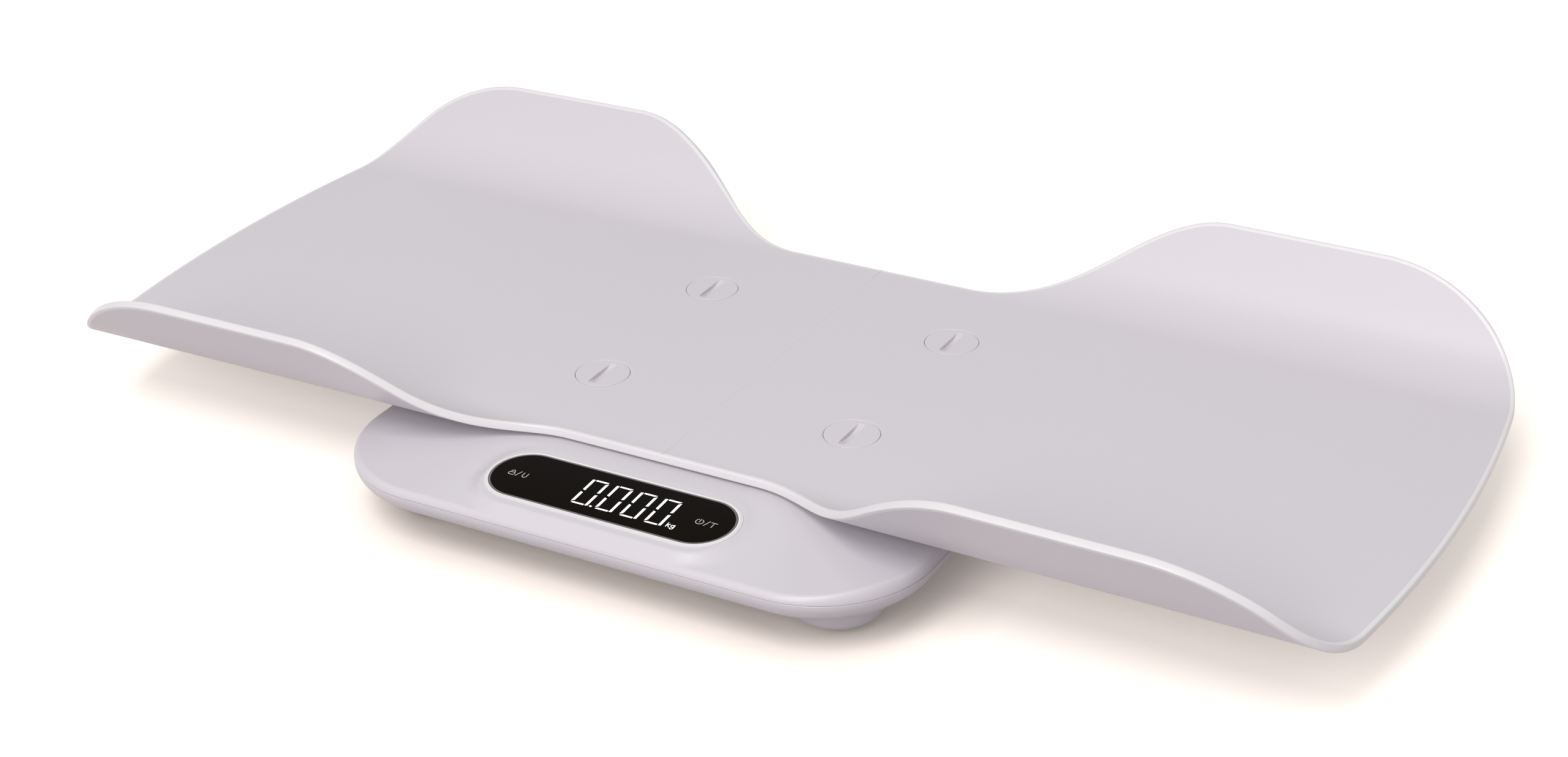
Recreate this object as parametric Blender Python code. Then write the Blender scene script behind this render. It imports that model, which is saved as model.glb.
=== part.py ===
"""Digital baby scale: a two-piece cradle tray held by four quarter-turn knobs on a low display base.

Metres, +Z up. The table is z = 0 and the origin is the centre of the footprint box. Pieces are
modelled about the tray's centre (y = 0 on the tray's own cross line) and the empty "footprint"
moves them all to the origin.
"""

import math

import bpy
import numpy as np

# General clearances and helpers' sizes
running_gap = 0.0003
seat_gap = 0.0003
overrun = 0.004

# Heights of the stack above the table
deck_height = 0.0349
parting_drop = 0.0098
belly_depth = 0.0145

# Tray sheet: flat floor, bent-up sides, four lobes
tray_thickness = 0.0036
tray_gap = 0.0007
tray_half_length = 0.2952
waist_half_width = 0.0950
lobe_reach = 0.1512
rise_start = 0.044
rise_end = 0.150
lobe_corner_radius = 0.0717
end_bulge = 0.0050
floor_half_width = 0.0893
bend_radius = 0.0398
wall_angle = math.radians(60.5)
tray_crown = 0.0019
lap_width = 0.006
lap_gap = 0.0003

# Knobs and the cups that hold them
knob_spacing_x = 0.0594
knob_spacing_y = 0.0452
knob_radius = 0.0115
knob_head_thickness = 0.0036
knob_head_sink = 0.0001
knob_edge_round = 0.0004
knob_gap = 0.0003
knob_cup_wall = 0.0027
knob_cup_floor = 0.0018
knob_shank_radius = 0.0044
knob_groove_depth = 0.0010
knob_slot_length = 0.0185
knob_slot_width = 0.0046
knob_slot_depth = 0.0019
knob_lug_half_length = 0.0092
knob_lug_width = 0.0044
knob_lug_thickness = 0.0024
clip_thickness = 0.0008
clip_width = 0.0020
clip_mouth = 0.0046
pocket_gap = 0.0005
pocket_floor = 0.0022
keyhole_gap = 0.0006

# Base shells
base_offset_x = -0.0055
base_half_width = 0.1298
base_front = 0.1504
base_back = 0.100
base_corner_radius = 0.0468
shell_wall = 0.0025
parting_gap = 0.0004
upper_edge_run = 0.005
lower_edge_run = 0.0275
front_fall = 0.067
front_fall_start = 0.097
side_fall = 0.0355
side_fall_start = 0.060
back_fall_margin = 0.040

# Display window
window_y = -0.1238
window_half_length = 0.0554
window_radius = 0.0156
bezel_width = 0.0015
bezel_neck = 0.0007
bezel_stand = 0.0006
bezel_sink = 0.0008
bezel_depth = 0.0044
lens_thickness = 0.0018
lens_ledge = 0.0018
lens_sink = 0.0004
led_half_length = 0.0275
led_half_width = 0.0115
led_height = 0.0060
led_offset_x = 0.0095
board_half_length = 0.054
board_half_width = 0.0195
board_thickness = 0.0016
touch_pad_radius = 0.0042
touch_pad_x = 0.0430
buzzer_radius = 0.0060
buzzer_height = 0.0050
buzzer_x = -0.018
board_post_radius = 0.0020
board_post_inset = 0.0027

# Feet and load cells
foot_x = 0.0944
foot_front = 0.0376
foot_back = 0.0376
foot_radius = 0.0200
foot_bottom_radius = 0.0070
foot_rise = 0.0064
foot_wall = 0.0022
foot_hole_gap = 0.0005
foot_post_radius = 0.0038
pad_radius = 0.0068
pad_thickness = 0.0020
pad_recess = 0.0012
cell_half_side = 0.0132
cell_thickness = 0.0016
cell_slot = 0.0018
cell_rim = 0.0036
cell_tongue = 0.0064
gauge_height = 0.0006
cell_post_radius = 0.0022

# Battery bay in the base's underside
battery_radius = 0.00525
battery_length = 0.0445
battery_pitch = 0.0112
battery_count = 3
battery_nub_radius = 0.0019
battery_nub_length = 0.0008
bay_wall = 0.0016
bay_end_room = 0.0040
bay_y = 0.010
cover_thickness = 0.0022
cover_gap = 0.0005
cover_margin = 0.0030
cover_grip_radius = 0.0060
cover_grip_depth = 0.0009
contact_thickness = 0.0005
contact_dome_radius = 0.0026

# Case screws
screw_head_radius = 0.0029
screw_head_height = 0.0018
screw_shank_radius = 0.0014
screw_reach = 0.0115
screw_well_radius = 0.0034
screw_boss_wall = 0.0016
screw_well_floor = 0.0018
screw_gap = 0.0003
screw_drive_radius = 0.0015
screw_drive_depth = 0.0009
screw_side_x = 0.1000
screw_back_x = 0.0470
screw_back_inset = 0.0150
screw_front_x = 0.0300
screw_front_y = -0.0960

# Load-cell leads
lead_radius = 0.0009
lead_rise = 0.0079
lead_lane = 0.0230
lead_corner_x = 0.0480
lead_end_x = 0.0330
lead_end_step = 0.0080
lead_end_spread = 0.0060

# Round detail, in steps per quarter turn or per piece
corner_steps = 6
knob_sides = 24
foot_sides = 20
small_sides = 16
post_sides = 10
rise_steps = 10
bend_steps = 7
rim_steps = 4
dome_steps = 3

# Where the sheet's and the deck's inner rows lie, as shares of the way out from the middle
end_row_shares = (0.7, 0.4, 0.0)
deck_ring_shares = (0.8, 0.6, 0.35)
roof_ring_shares = (0.6,)

# Worked-out places
footprint = None
parting_height = deck_height - parting_drop
base_bottom = parting_height - belly_depth
foot_top = base_bottom + foot_rise
lead_height = base_bottom + lead_rise
floor_under = deck_height + tray_gap
floor_height = floor_under + tray_thickness
rim_radius = tray_thickness / 2
cup_radius = knob_radius + knob_gap
head_top = floor_height - knob_head_sink
head_bottom = head_top - knob_head_thickness
cup_floor_top = head_bottom - seat_gap
cup_floor_bottom = cup_floor_top - knob_cup_floor
clip_top = cup_floor_bottom - running_gap
clip_bottom = clip_top - clip_thickness
cup_foot = clip_bottom - running_gap
pocket_floor_top = cup_foot - seat_gap
pocket_floor_bottom = pocket_floor_top - pocket_floor
lug_top = pocket_floor_bottom - running_gap
lug_bottom = lug_top - knob_lug_thickness
cup_outer = cup_radius + knob_cup_wall
pocket_radius = cup_outer + pocket_gap
base_half_depth = (base_front + base_back) / 2
base_centre = np.array([base_offset_x, (base_back - base_front) / 2])
wall_span = lobe_reach - floor_half_width - bend_radius * wall_angle
tray_reach = (
    floor_half_width
    + bend_radius * math.sin(wall_angle)
    + (wall_span - rim_radius) * math.cos(wall_angle)
    + rim_radius * math.sin(wall_angle)
    + rim_radius
)
footprint_shift = (base_front - tray_reach) / 2
KNOB_PLACES = {
    "back_left": (-knob_spacing_x, knob_spacing_y),
    "front_left": (-knob_spacing_x, -knob_spacing_y),
    "back_right": (knob_spacing_x, knob_spacing_y),
    "front_right": (knob_spacing_x, -knob_spacing_y),
}
FOOT_PLACES = {
    "back_left": (base_offset_x - foot_x, base_back - foot_back),
    "front_left": (base_offset_x - foot_x, foot_front - base_front),
    "back_right": (base_offset_x + foot_x, base_back - foot_back),
    "front_right": (base_offset_x + foot_x, foot_front - base_front),
}
SCREW_PLACES = [
    (base_offset_x - screw_side_x, base_centre[1]),
    (base_offset_x + screw_side_x, base_centre[1]),
    (base_offset_x - screw_back_x, base_back - screw_back_inset),
    (base_offset_x + screw_back_x, base_back - screw_back_inset),
    (base_offset_x - screw_front_x, screw_front_y),
    (base_offset_x + screw_front_x, screw_front_y),
]


# Meshes as arrays

def joined(pieces):
    """Several (points, faces) pairs as one pair."""
    points = []
    faces = []
    for piece_points, piece_faces in pieces:
        start = len(points)
        points.extend(tuple(map(float, point)) for point in piece_points)
        faces.extend([start + corner for corner in face] for face in piece_faces)
    return points, faces


def moved(piece, x=0.0, y=0.0, z=0.0):
    """The same mesh carried by a vector."""
    points, faces = piece
    return [(px + x, py + y, pz + z) for px, py, pz in points], faces


def prism(outline, low, high):
    """A flat outline, anticlockwise from above, raised from low to high."""
    count = len(outline)
    points = [(x, y, low) for x, y in outline] + [(x, y, high) for x, y in outline]
    faces = [list(range(count))[::-1], [count + i for i in range(count)]]
    for i in range(count):
        after = (i + 1) % count
        faces.append([i, after, count + after, count + i])
    return points, faces


def circle(radius, sides, x=0.0, y=0.0):
    """A round outline, anticlockwise."""
    turn = np.arange(sides) * 2 * math.pi / sides
    return [(x + radius * math.cos(a), y + radius * math.sin(a)) for a in turn]


def cylinder(radius, low, high, sides, x=0.0, y=0.0):
    """An upright cylinder."""
    return prism(circle(radius, sides, x, y), low, high)


def block(x0, x1, y0, y1, low, high):
    """A box from its limits."""
    return prism([(x0, y0), (x1, y0), (x1, y1), (x0, y1)], low, high)


def rounded_box(half_x, half_y, radius, steps, side_points=0):
    """A rectangle with round corners, anticlockwise, with evenly spaced points along its sides."""
    points = []
    corners = [(1, 1, 0), (-1, 1, 1), (-1, -1, 2), (1, -1, 3)]
    for sx, sy, quarter in corners:
        cx = sx * (half_x - radius)
        cy = sy * (half_y - radius)
        for i in range(steps + 1):
            angle = (quarter + i / steps) * math.pi / 2
            points.append((cx + radius * math.cos(angle), cy + radius * math.sin(angle)))
        nx, ny, _ = corners[(quarter + 1) % 4]
        angle = (quarter + 1) * math.pi / 2
        end = np.array([nx * (half_x - radius), ny * (half_y - radius)])
        end = end + radius * np.array([math.cos(angle), math.sin(angle)])
        start = np.array(points[-1])
        for k in range(1, side_points + 1):
            points.append(tuple(start + (end - start) * k / (side_points + 1)))
    return points


def turned(profile, sides, x=0.0, y=0.0):
    """A profile of (radius, height) turned about a vertical axis.

    The profile runs up the outside. Where it starts or ends on the axis it closes in a point, and
    otherwise its last point joins its first, which makes a ring.
    """
    points = []
    rings = []
    for radius, height in profile:
        if radius == 0:
            rings.append([len(points)])
            points.append((x, y, height))
            continue
        rings.append([len(points) + i for i in range(sides)])
        points.extend((px, py, height) for px, py in circle(radius, sides, x, y))
    closed = len(rings[0]) > 1 and len(rings[-1]) > 1
    faces = []
    for i in range(len(rings) - (0 if closed else 1)):
        low = rings[i]
        high = rings[(i + 1) % len(rings)]
        for k in range(sides):
            after = (k + 1) % sides
            face = [low[k % len(low)], low[after % len(low)]]
            face += [high[after % len(high)], high[k % len(high)]]
            face = list(dict.fromkeys(face))
            faces.append(face)
    return points, faces


def ringed(rings, low_cap=True, high_cap=True):
    """A solid skinned over rings of equal count, the last ring may be one point."""
    points = [tuple(map(float, p)) for ring in rings for p in ring]
    starts = np.cumsum([0] + [len(ring) for ring in rings])
    count = len(rings[0])
    faces = []
    for i in range(len(rings) - 1):
        for k in range(count):
            after = (k + 1) % count
            low = [starts[i] + k, starts[i] + after]
            size = len(rings[i + 1])
            high = [starts[i + 1] + after % size, starts[i + 1] + k % size]
            faces.append(list(dict.fromkeys(int(v) for v in low + high)))
    if low_cap:
        faces.append([int(starts[0]) + k for k in range(count)][::-1])
    if high_cap:
        faces.append([int(starts[-2]) + k for k in range(count)])
    return points, faces


# Objects, materials and modifiers

def material(name, colour, roughness, metallic=0.0):
    """A plain finish with the piece's colour."""
    made = bpy.data.materials.new(name)
    made.use_nodes = True
    shader = made.node_tree.nodes["Principled BSDF"]
    shader.inputs["Base Color"].default_value = (*colour, 1.0)
    shader.inputs["Roughness"].default_value = roughness
    shader.inputs["Metallic"].default_value = metallic
    made.diffuse_color = (*colour, 1.0)
    return made


def solid(name, piece, finish, parent=None, location=(0.0, 0.0, 0.0), smooth=35):
    """An object from points and faces, smooth where its faces meet at less than `smooth` degrees."""
    mesh = bpy.data.meshes.new(name)
    mesh.from_pydata(list(piece[0]), [], list(piece[1]))
    mesh.update()
    mesh.shade_smooth()
    mesh.set_sharp_from_angle(angle=math.radians(smooth))
    obj = bpy.data.objects.new(name, mesh)
    if finish is not None:
        mesh.materials.append(finish)
    bpy.context.scene.collection.objects.link(obj)
    obj.parent = parent or footprint
    obj.location = location
    return obj


def helper(name, piece, parent=None, location=(0.0, 0.0, 0.0)):
    """A shape that only cuts or joins, left out of the model."""
    obj = solid(name, piece, None, parent, location)
    obj.hide_render = True
    obj.display_type = "WIRE"
    return obj


def boolean(obj, operation, other):
    """Joins another object to this one, or cuts it away."""
    modifier = obj.modifiers.new(operation.lower() + "_" + other.name, "BOOLEAN")
    modifier.operation = operation
    modifier.object = other
    modifier.solver = "EXACT"


def cut(obj, name, piece, parent=None, location=(0.0, 0.0, 0.0)):
    boolean(obj, "DIFFERENCE", helper(name, piece, parent, location))


def join(obj, name, piece, parent=None, location=(0.0, 0.0, 0.0)):
    boolean(obj, "UNION", helper(name, piece, parent, location))


def empty(name, location, parent=None):
    made = bpy.data.objects.new(name, None)
    bpy.context.scene.collection.objects.link(made)
    made.location = location
    made.parent = parent
    return made


# Tray

def section(reach):
    """Height, cross position and tilt of the sheet at a distance from the centre line along it."""
    side = np.sign(reach)
    away = np.abs(reach)
    tilt = np.clip((away - floor_half_width) / bend_radius, 0, wall_angle)
    straight = np.maximum(away - floor_half_width - bend_radius * wall_angle, 0)
    cross = np.minimum(away, floor_half_width) + bend_radius * np.sin(tilt)
    cross = cross + straight * math.cos(wall_angle)
    height = bend_radius * (1 - np.cos(tilt)) + straight * math.sin(wall_angle)
    return side * cross, height, side * tilt


def edge_reach(x):
    """How far the sheet reaches from the centre line at x: waist, then a cosine rise to the lobe."""
    share = np.clip((np.abs(x) - rise_start) / (rise_end - rise_start), 0, 1)
    waist = waist_half_width - rim_radius
    lobe = lobe_reach - rim_radius
    return waist + (lobe - waist) * (1 - np.cos(math.pi * share)) / 2


def tray_grid():
    """The sheet's upper face as a grid of (x, reach), a patch between its sides and its two ends."""
    corner = lobe_corner_radius - rim_radius
    centre_reach = lobe_reach - rim_radius - corner
    lean = math.atan(2 * end_bulge / centre_reach)
    start_reach = centre_reach + corner * math.sin(lean)
    end_x = tray_half_length - rim_radius
    centre_x = end_x - end_bulge * (start_reach / centre_reach) ** 2 - corner * math.cos(lean)
    side_x = np.concatenate(
        [[0, rise_start / 2], np.linspace(rise_start, rise_end, rise_steps), [(rise_end + centre_x) / 2]]
    )
    turn = np.linspace(math.pi / 2, math.pi / 4, bend_steps - 1)
    edge_x = np.concatenate([side_x, centre_x + corner * np.cos(turn)])
    edge_s = np.concatenate([edge_reach(side_x), centre_reach + corner * np.sin(turn)])
    fall = np.linspace(math.pi / 4, lean, bend_steps)
    end_s = np.concatenate([centre_reach + corner * np.sin(fall), start_reach * np.array(end_row_shares)])
    flat = end_x - end_bulge * (end_s[bend_steps:] / centre_reach) ** 2
    end_xs = np.concatenate([centre_x + corner * np.cos(fall), flat])
    along = edge_x / edge_x[-1]
    across = end_s / end_s[0]
    x = edge_x[:, None] + along[:, None] * (end_xs - end_xs[0])[None, :]
    s = edge_s[:, None] * across[None, :]
    x = np.concatenate([x, x[:, -2::-1]], axis=1)
    s = np.concatenate([s, -s[:, -2::-1]], axis=1)
    return np.concatenate([-x[:0:-1], x]), np.concatenate([s[:0:-1], s])


def lifted(x, s, out_x=0.0, out_s=0.0, depth=0.0):
    """A place on the sheet, then a step outwards in the sheet and a depth below its upper face."""
    cross, height, tilt = section(s)
    crown = tray_crown * (x / tray_half_length) ** 2
    y = cross + out_s * np.cos(tilt) + depth * np.sin(tilt)
    z = floor_height + height - crown + out_s * np.sin(tilt) - depth * np.cos(tilt)
    return np.stack([x + out_x, y, z], axis=-1)


def tray_sheet():
    """The whole sheet: upper and lower face on one grid, and a half-round rim between them."""
    x, s = tray_grid()
    rows, columns = x.shape
    upper = lifted(x, s).reshape(-1, 3)
    lower = lifted(x, s, depth=tray_thickness).reshape(-1, 3)
    index = np.arange(rows * columns).reshape(rows, columns)
    loop = np.concatenate([index[:-1, 0], index[-1, :-1], index[:0:-1, -1], index[0, :0:-1]])
    edge_x = x.reshape(-1)[loop]
    edge_s = s.reshape(-1)[loop]
    step_x = np.roll(edge_x, -1) - np.roll(edge_x, 1)
    step_s = np.roll(edge_s, -1) - np.roll(edge_s, 1)
    length = np.hypot(step_x, step_s)
    out_x = step_s / length
    out_s = -step_x / length
    away = np.sign((edge_x * out_x + edge_s * out_s).sum())
    rings = []
    for k in range(1, rim_steps):
        angle = math.pi * k / rim_steps
        out = rim_radius * math.sin(angle) * away
        rings.append(lifted(edge_x, edge_s, out * out_x, out * out_s, rim_radius * (1 - math.cos(angle))))
    points = np.concatenate([upper, lower, *rings])
    total = rows * columns
    faces = []
    for i in range(rows - 1):
        for j in range(columns - 1):
            quad = [index[i, j], index[i, j + 1], index[i + 1, j + 1], index[i + 1, j]]
            faces.append(quad)
            faces.append([total + corner for corner in quad[::-1]])
    loops = [loop] + [2 * total + k * len(loop) + np.arange(len(loop)) for k in range(rim_steps - 1)]
    loops.append(total + loop)
    for first, second in zip(loops, loops[1:]):
        for k in range(len(loop)):
            after = (k + 1) % len(loop)
            faces.append([first[k], first[after], second[after], second[k]])
    return points.tolist(), [[int(corner) for corner in face] for face in faces]


def outward(piece):
    """The piece with its faces turned to point out, judged by its signed volume."""
    points = np.array(piece[0])
    volume = 0.0
    for face in piece[1]:
        for k in range(1, len(face) - 1):
            volume += np.linalg.det(points[[face[0], face[k], face[k + 1]]])
    if volume < 0:
        return piece[0], [face[::-1] for face in piece[1]]
    return piece


def lap_cutter(keep_right):
    """Takes away the other half of the sheet, stepped so that the left half's tongue runs under the lip."""
    far = tray_half_length + overrun
    low = pocket_floor_bottom
    high = floor_height + lobe_reach
    middle = floor_height - tray_thickness / 2
    if keep_right:
        shape = [(-far, low), (lap_width + lap_gap, low), (lap_width + lap_gap, middle)]
        shape += [(lap_gap, middle), (lap_gap, high), (-far, high)]
    else:
        shape = [(far, low), (far, high), (0, high), (0, middle - lap_gap)]
        shape += [(lap_width, middle - lap_gap), (lap_width, low)]
    points, faces = prism(shape, -lobe_reach, lobe_reach)
    return outward(([(x, y, z) for x, z, y in points], faces))


def make_tray(sheet, side, finish):
    """One half of the tray with its two knob cups."""
    name = "tray_right" if side > 0 else "tray_left"
    half = solid(name, sheet, finish)
    places = [(x, y) for x, y in KNOB_PLACES.values() if x * side > 0]
    top = floor_height - tray_thickness / 2
    cups = [cylinder(cup_outer, cup_foot, top, knob_sides, x, y) for x, y in places]
    rooms = [cylinder(cup_radius, cup_foot - overrun, cup_floor_bottom, knob_sides, x, y) for x, y in places]
    heads = [cylinder(cup_radius, cup_floor_top, floor_height + overrun, knob_sides, x, y) for x, y in places]
    hole = knob_shank_radius + running_gap
    low = cup_floor_bottom - overrun
    shanks = [cylinder(hole, low, floor_height, small_sides, x, y) for x, y in places]
    join(half, name + "_cups", joined(cups))
    cut(half, name + "_head_holes", joined(heads))
    cut(half, name + "_clip_rooms", joined(rooms))
    cut(half, name + "_shank_holes", joined(shanks))
    cut(half, name + "_lap", lap_cutter(side > 0))
    return half


def make_knob(place, x, y, finish, clip_finish):
    """A quarter-turn knob: flush head with a dished coin slot, grooved shank and cross lug."""
    axis = empty("knob_axis_" + place, (x, y, 0.0), footprint)
    groove = knob_shank_radius - knob_groove_depth
    profile = [
        (0, lug_top - knob_lug_thickness / 2),
        (knob_shank_radius, lug_top - knob_lug_thickness / 2),
        (knob_shank_radius, clip_bottom - seat_gap),
        (groove, clip_bottom - seat_gap),
        (groove, clip_top + seat_gap),
        (knob_shank_radius, clip_top + seat_gap),
        (knob_shank_radius, head_bottom),
        (knob_radius, head_bottom),
        (knob_radius, head_top - knob_edge_round),
        (knob_radius - knob_edge_round, head_top),
        (0, head_top),
    ]
    knob = solid("knob_" + place, turned(profile, knob_sides), finish, axis)
    half = knob_lug_width / 2
    lug = block(-half, half, -knob_lug_half_length, knob_lug_half_length, lug_bottom, lug_top)
    join(knob, "knob_lug_" + place, lug, axis)
    cut(knob, "knob_slot_" + place, coin_slot(), axis)
    inner = groove + seat_gap
    outer = inner + clip_width
    ring = [(outer, clip_bottom), (outer, clip_top), (inner, clip_top), (inner, clip_bottom)]
    clip = solid("knob_clip_" + place, turned(ring, small_sides), clip_finish, axis)
    mouth = clip_mouth / 2
    gap = block(0, outer + overrun, -mouth, mouth, clip_bottom - overrun, clip_top + overrun)
    cut(clip, "knob_clip_mouth_" + place, gap, axis)


def coin_slot():
    """A lens-shaped dish along Y: a long ellipse on top that narrows to its deepest line."""
    rings = []
    shares = (1.25, 1.0, 0.6)
    for share in shares:
        depth = knob_slot_depth * (1 - share**2)
        ring = []
        for k in range(small_sides):
            angle = 2 * math.pi * k / small_sides
            across = share * knob_slot_width / 2 * math.cos(angle)
            along = knob_slot_length / 2 * math.sin(angle) * (1 + share) / 2
            ring.append((across, along, head_top - depth))
        rings.append(ring)
    low = [(0.0, 0.0, head_top - knob_slot_depth)]
    return outward(ringed([*rings, low], low_cap=True, high_cap=False))


# Base

def deck_level(x, y, plateau):
    """Height of the deck: level under the tray, falling gently to the front, sides and back."""
    front = front_fall * np.maximum(-y - front_fall_start, 0)
    side = side_fall * np.maximum(np.abs(x - base_offset_x) - side_fall_start, 0)
    back = side_fall * np.maximum(y - base_back + back_fall_margin, 0)
    return plateau - np.maximum(np.maximum(front, side), back)


def base_ring(inset):
    """The base's outline, drawn in by an inset."""
    outline = rounded_box(
        base_half_width - inset,
        base_half_depth - inset,
        base_corner_radius - inset,
        corner_steps,
        side_points=3,
    )
    return np.array(outline) + base_centre


def shell_rings(inset, edge_run, start, level, steps, shares=()):
    """Rings from the parting edge over a rounded edge and in to the centre, for one face of a shell."""
    rings = []
    for i in range(steps + 1):
        angle = math.pi / 2 * i / steps
        ring = base_ring(inset + (edge_run - inset) * (1 - math.cos(angle)))
        end = level(ring[:, 0], ring[:, 1])
        rings.append(np.column_stack([ring, start + (end - start) * math.sin(angle)]))
    flat = rings[-1][:, :2] - base_centre
    for share in shares:
        ring = base_centre + flat * share
        rings.append(np.column_stack([ring, level(ring[:, 0], ring[:, 1])]))
    top = level(np.array([base_centre[0]]), np.array([base_centre[1]]))
    rings.append(np.array([[*base_centre, top[0]]]))
    return rings


def hollow_shell(outer, inner):
    """A shell between two stacks of rings that meet along the parting edge."""
    stack = [ring for ring in inner[::-1]] + outer
    points = []
    starts = []
    for ring in stack:
        starts.append(len(points))
        points.extend(tuple(map(float, p)) for p in ring)
    count = len(outer[0])
    faces = []
    for i in range(len(stack) - 1):
        low = len(stack[i])
        high = len(stack[i + 1])
        for k in range(count):
            after = (k + 1) % count
            face = [starts[i] + k % low, starts[i] + after % low]
            face += [starts[i + 1] + after % high, starts[i + 1] + k % high]
            faces.append(list(dict.fromkeys(face)))
    return outward((points, faces))


def window_frame(inset, low, high):
    """A pill-shaped prism in the display's tilted plane, grown by a negative inset."""
    radius = window_radius - inset
    half = window_half_length - inset
    outline = rounded_box(half, radius, radius, 2 * corner_steps)
    return prism(outline, low, high)


def make_window_axis():
    """The display's own frame: its centre on the deck, tilted with the deck's front fall."""
    level = deck_level(np.array([base_offset_x]), np.array([window_y]), deck_height)[0]
    axis = empty("window_frame", (base_offset_x, window_y, float(level)), footprint)
    axis.rotation_euler = (math.atan(front_fall), 0.0, 0.0)
    return axis


def make_upper_shell(finish, window):
    """The deck with its rounded edge, knob pockets, window seat, screw bosses and cell posts."""
    start = parting_height + parting_gap / 2
    outer = shell_rings(
        0, upper_edge_run, start, lambda x, y: deck_level(x, y, deck_height), 4, deck_ring_shares
    )
    roof = deck_height - shell_wall
    inner = shell_rings(
        shell_wall, upper_edge_run, start, lambda x, y: deck_level(x, y, roof), 2, roof_ring_shares
    )
    shell = solid("upper_shell", hollow_shell(outer, inner), finish)
    places = list(KNOB_PLACES.values())
    inside = deck_height - shell_wall / 2
    ring = pocket_radius + shell_wall
    cups = [cylinder(ring, pocket_floor_bottom, inside, knob_sides, x, y) for x, y in places]
    join(shell, "pocket_walls", joined(cups))
    bosses = []
    boss = screw_shank_radius + screw_boss_wall
    for x, y in SCREW_PLACES:
        bosses.append(cylinder(boss, screw_seat + screw_gap, roof_above(x, y), post_sides, x, y))
    for x, y in FOOT_PLACES.values():
        for dx, dy in [(1, 1), (-1, 1), (-1, -1), (1, -1)]:
            px = x + dx * (cell_half_side - cell_post_radius)
            py = y + dy * (cell_half_side - cell_post_radius)
            bosses.append(cylinder(cell_post_radius, cell_top + seat_gap, roof_above(px, py), post_sides, px, py))
    join(shell, "posts", joined(bosses))
    board_posts = []
    post_x = board_half_length - board_post_inset
    post_y = board_half_width - board_post_inset
    for x, y in ((-post_x, -post_y), (post_x, -post_y), (-post_x, post_y), (post_x, post_y)):
        board_posts.append(cylinder(board_post_radius, board_top + seat_gap, -shell_wall / 2, post_sides, x, y))
    join(shell, "board_posts", joined(board_posts), window)
    cut(shell, "window_hole", window_frame(-bezel_neck - seat_gap, -deck_height, overrun), window)
    cut(shell, "bezel_seat", window_frame(-bezel_width - seat_gap, -bezel_sink - seat_gap, overrun), window)
    low = pocket_floor_bottom - overrun
    pockets = [cylinder(pocket_radius, pocket_floor_top, deck_height + overrun, knob_sides, x, y) for x, y in places]
    cut(shell, "pockets", joined(pockets))
    slot_x = knob_lug_width / 2 + keyhole_gap
    slot_y = knob_lug_half_length + keyhole_gap
    slots = [block(x - slot_x, x + slot_x, y - slot_y, y + slot_y, low, inside) for x, y in places]
    cut(shell, "keyhole_slots", joined(slots))
    hole = knob_shank_radius + keyhole_gap
    holes = [cylinder(hole, low, inside, small_sides, x, y) for x, y in places]
    cut(shell, "keyhole_bores", joined(holes))
    pilots = []
    for x, y in SCREW_PLACES:
        top = screw_seat + screw_reach + screw_gap
        pilots.append(cylinder(screw_shank_radius + screw_gap, base_bottom, top, post_sides, x, y))
    cut(shell, "screw_pilots", joined(pilots))
    return shell


def roof_above(x, y):
    """The middle of the deck's wall over a point, where a post ends inside it."""
    return float(deck_level(np.array([x]), np.array([y]), deck_height - shell_wall / 2)[0])


def make_lower_shell(finish):
    """The belly with its curved-in edge, foot openings, battery bay and screw wells."""
    start = parting_height - parting_gap / 2
    outer = shell_rings(0, lower_edge_run, start, lambda x, y: base_bottom + 0 * x, 5)
    floor = base_bottom + shell_wall
    inner = shell_rings(shell_wall, lower_edge_run, start, lambda x, y: floor + 0 * x, 4)
    shell = solid("lower_shell", hollow_shell(outer, inner), finish)
    inside = base_bottom + shell_wall / 2
    x0, x1, y0, y1 = bay_limits(bay_wall)
    walls = [block(x0, x1, y0, y1, inside, bay_roof + bay_wall)]
    x0, x1, y0, y1 = bay_limits(cover_margin + cover_gap + bay_wall)
    walls.append(block(x0, x1, y0, y1, inside, base_bottom + cover_thickness + cover_gap + bay_wall))
    well = screw_well_radius + screw_boss_wall
    for x, y in SCREW_PLACES:
        walls.append(cylinder(well, inside, screw_seat, post_sides, x, y))
    join(shell, "bay_and_wells", joined(walls))
    x0, x1, y0, y1 = bay_limits(0)
    cut(shell, "bay_room", block(x0, x1, y0, y1, base_bottom - overrun, bay_roof))
    x0, x1, y0, y1 = bay_limits(cover_margin + cover_gap)
    cut(shell, "cover_seat", block(x0, x1, y0, y1, base_bottom - overrun, base_bottom + cover_thickness + cover_gap))
    feet = []
    for x, y in FOOT_PLACES.values():
        feet.append(cylinder(foot_radius + foot_hole_gap, base_bottom - overrun, parting_height, foot_sides, x, y))
    cut(shell, "foot_holes", joined(feet))
    wells = []
    holes = []
    for x, y in SCREW_PLACES:
        top = screw_seat - screw_well_floor
        wells.append(cylinder(screw_well_radius, base_bottom - overrun, top, post_sides, x, y))
        holes.append(cylinder(screw_shank_radius + screw_gap, base_bottom, parting_height, post_sides, x, y))
    cut(shell, "screw_wells", joined(wells))
    cut(shell, "screw_holes", joined(holes))
    return shell


def bay_limits(grow):
    """The battery bay's sides, grown by a wall or a margin."""
    half_x = battery_length / 2 + bay_end_room + grow
    half_y = battery_pitch * (battery_count - 1) / 2 + battery_radius + seat_gap * 2 + grow
    return base_offset_x - half_x, base_offset_x + half_x, bay_y - half_y, bay_y + half_y


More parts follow.
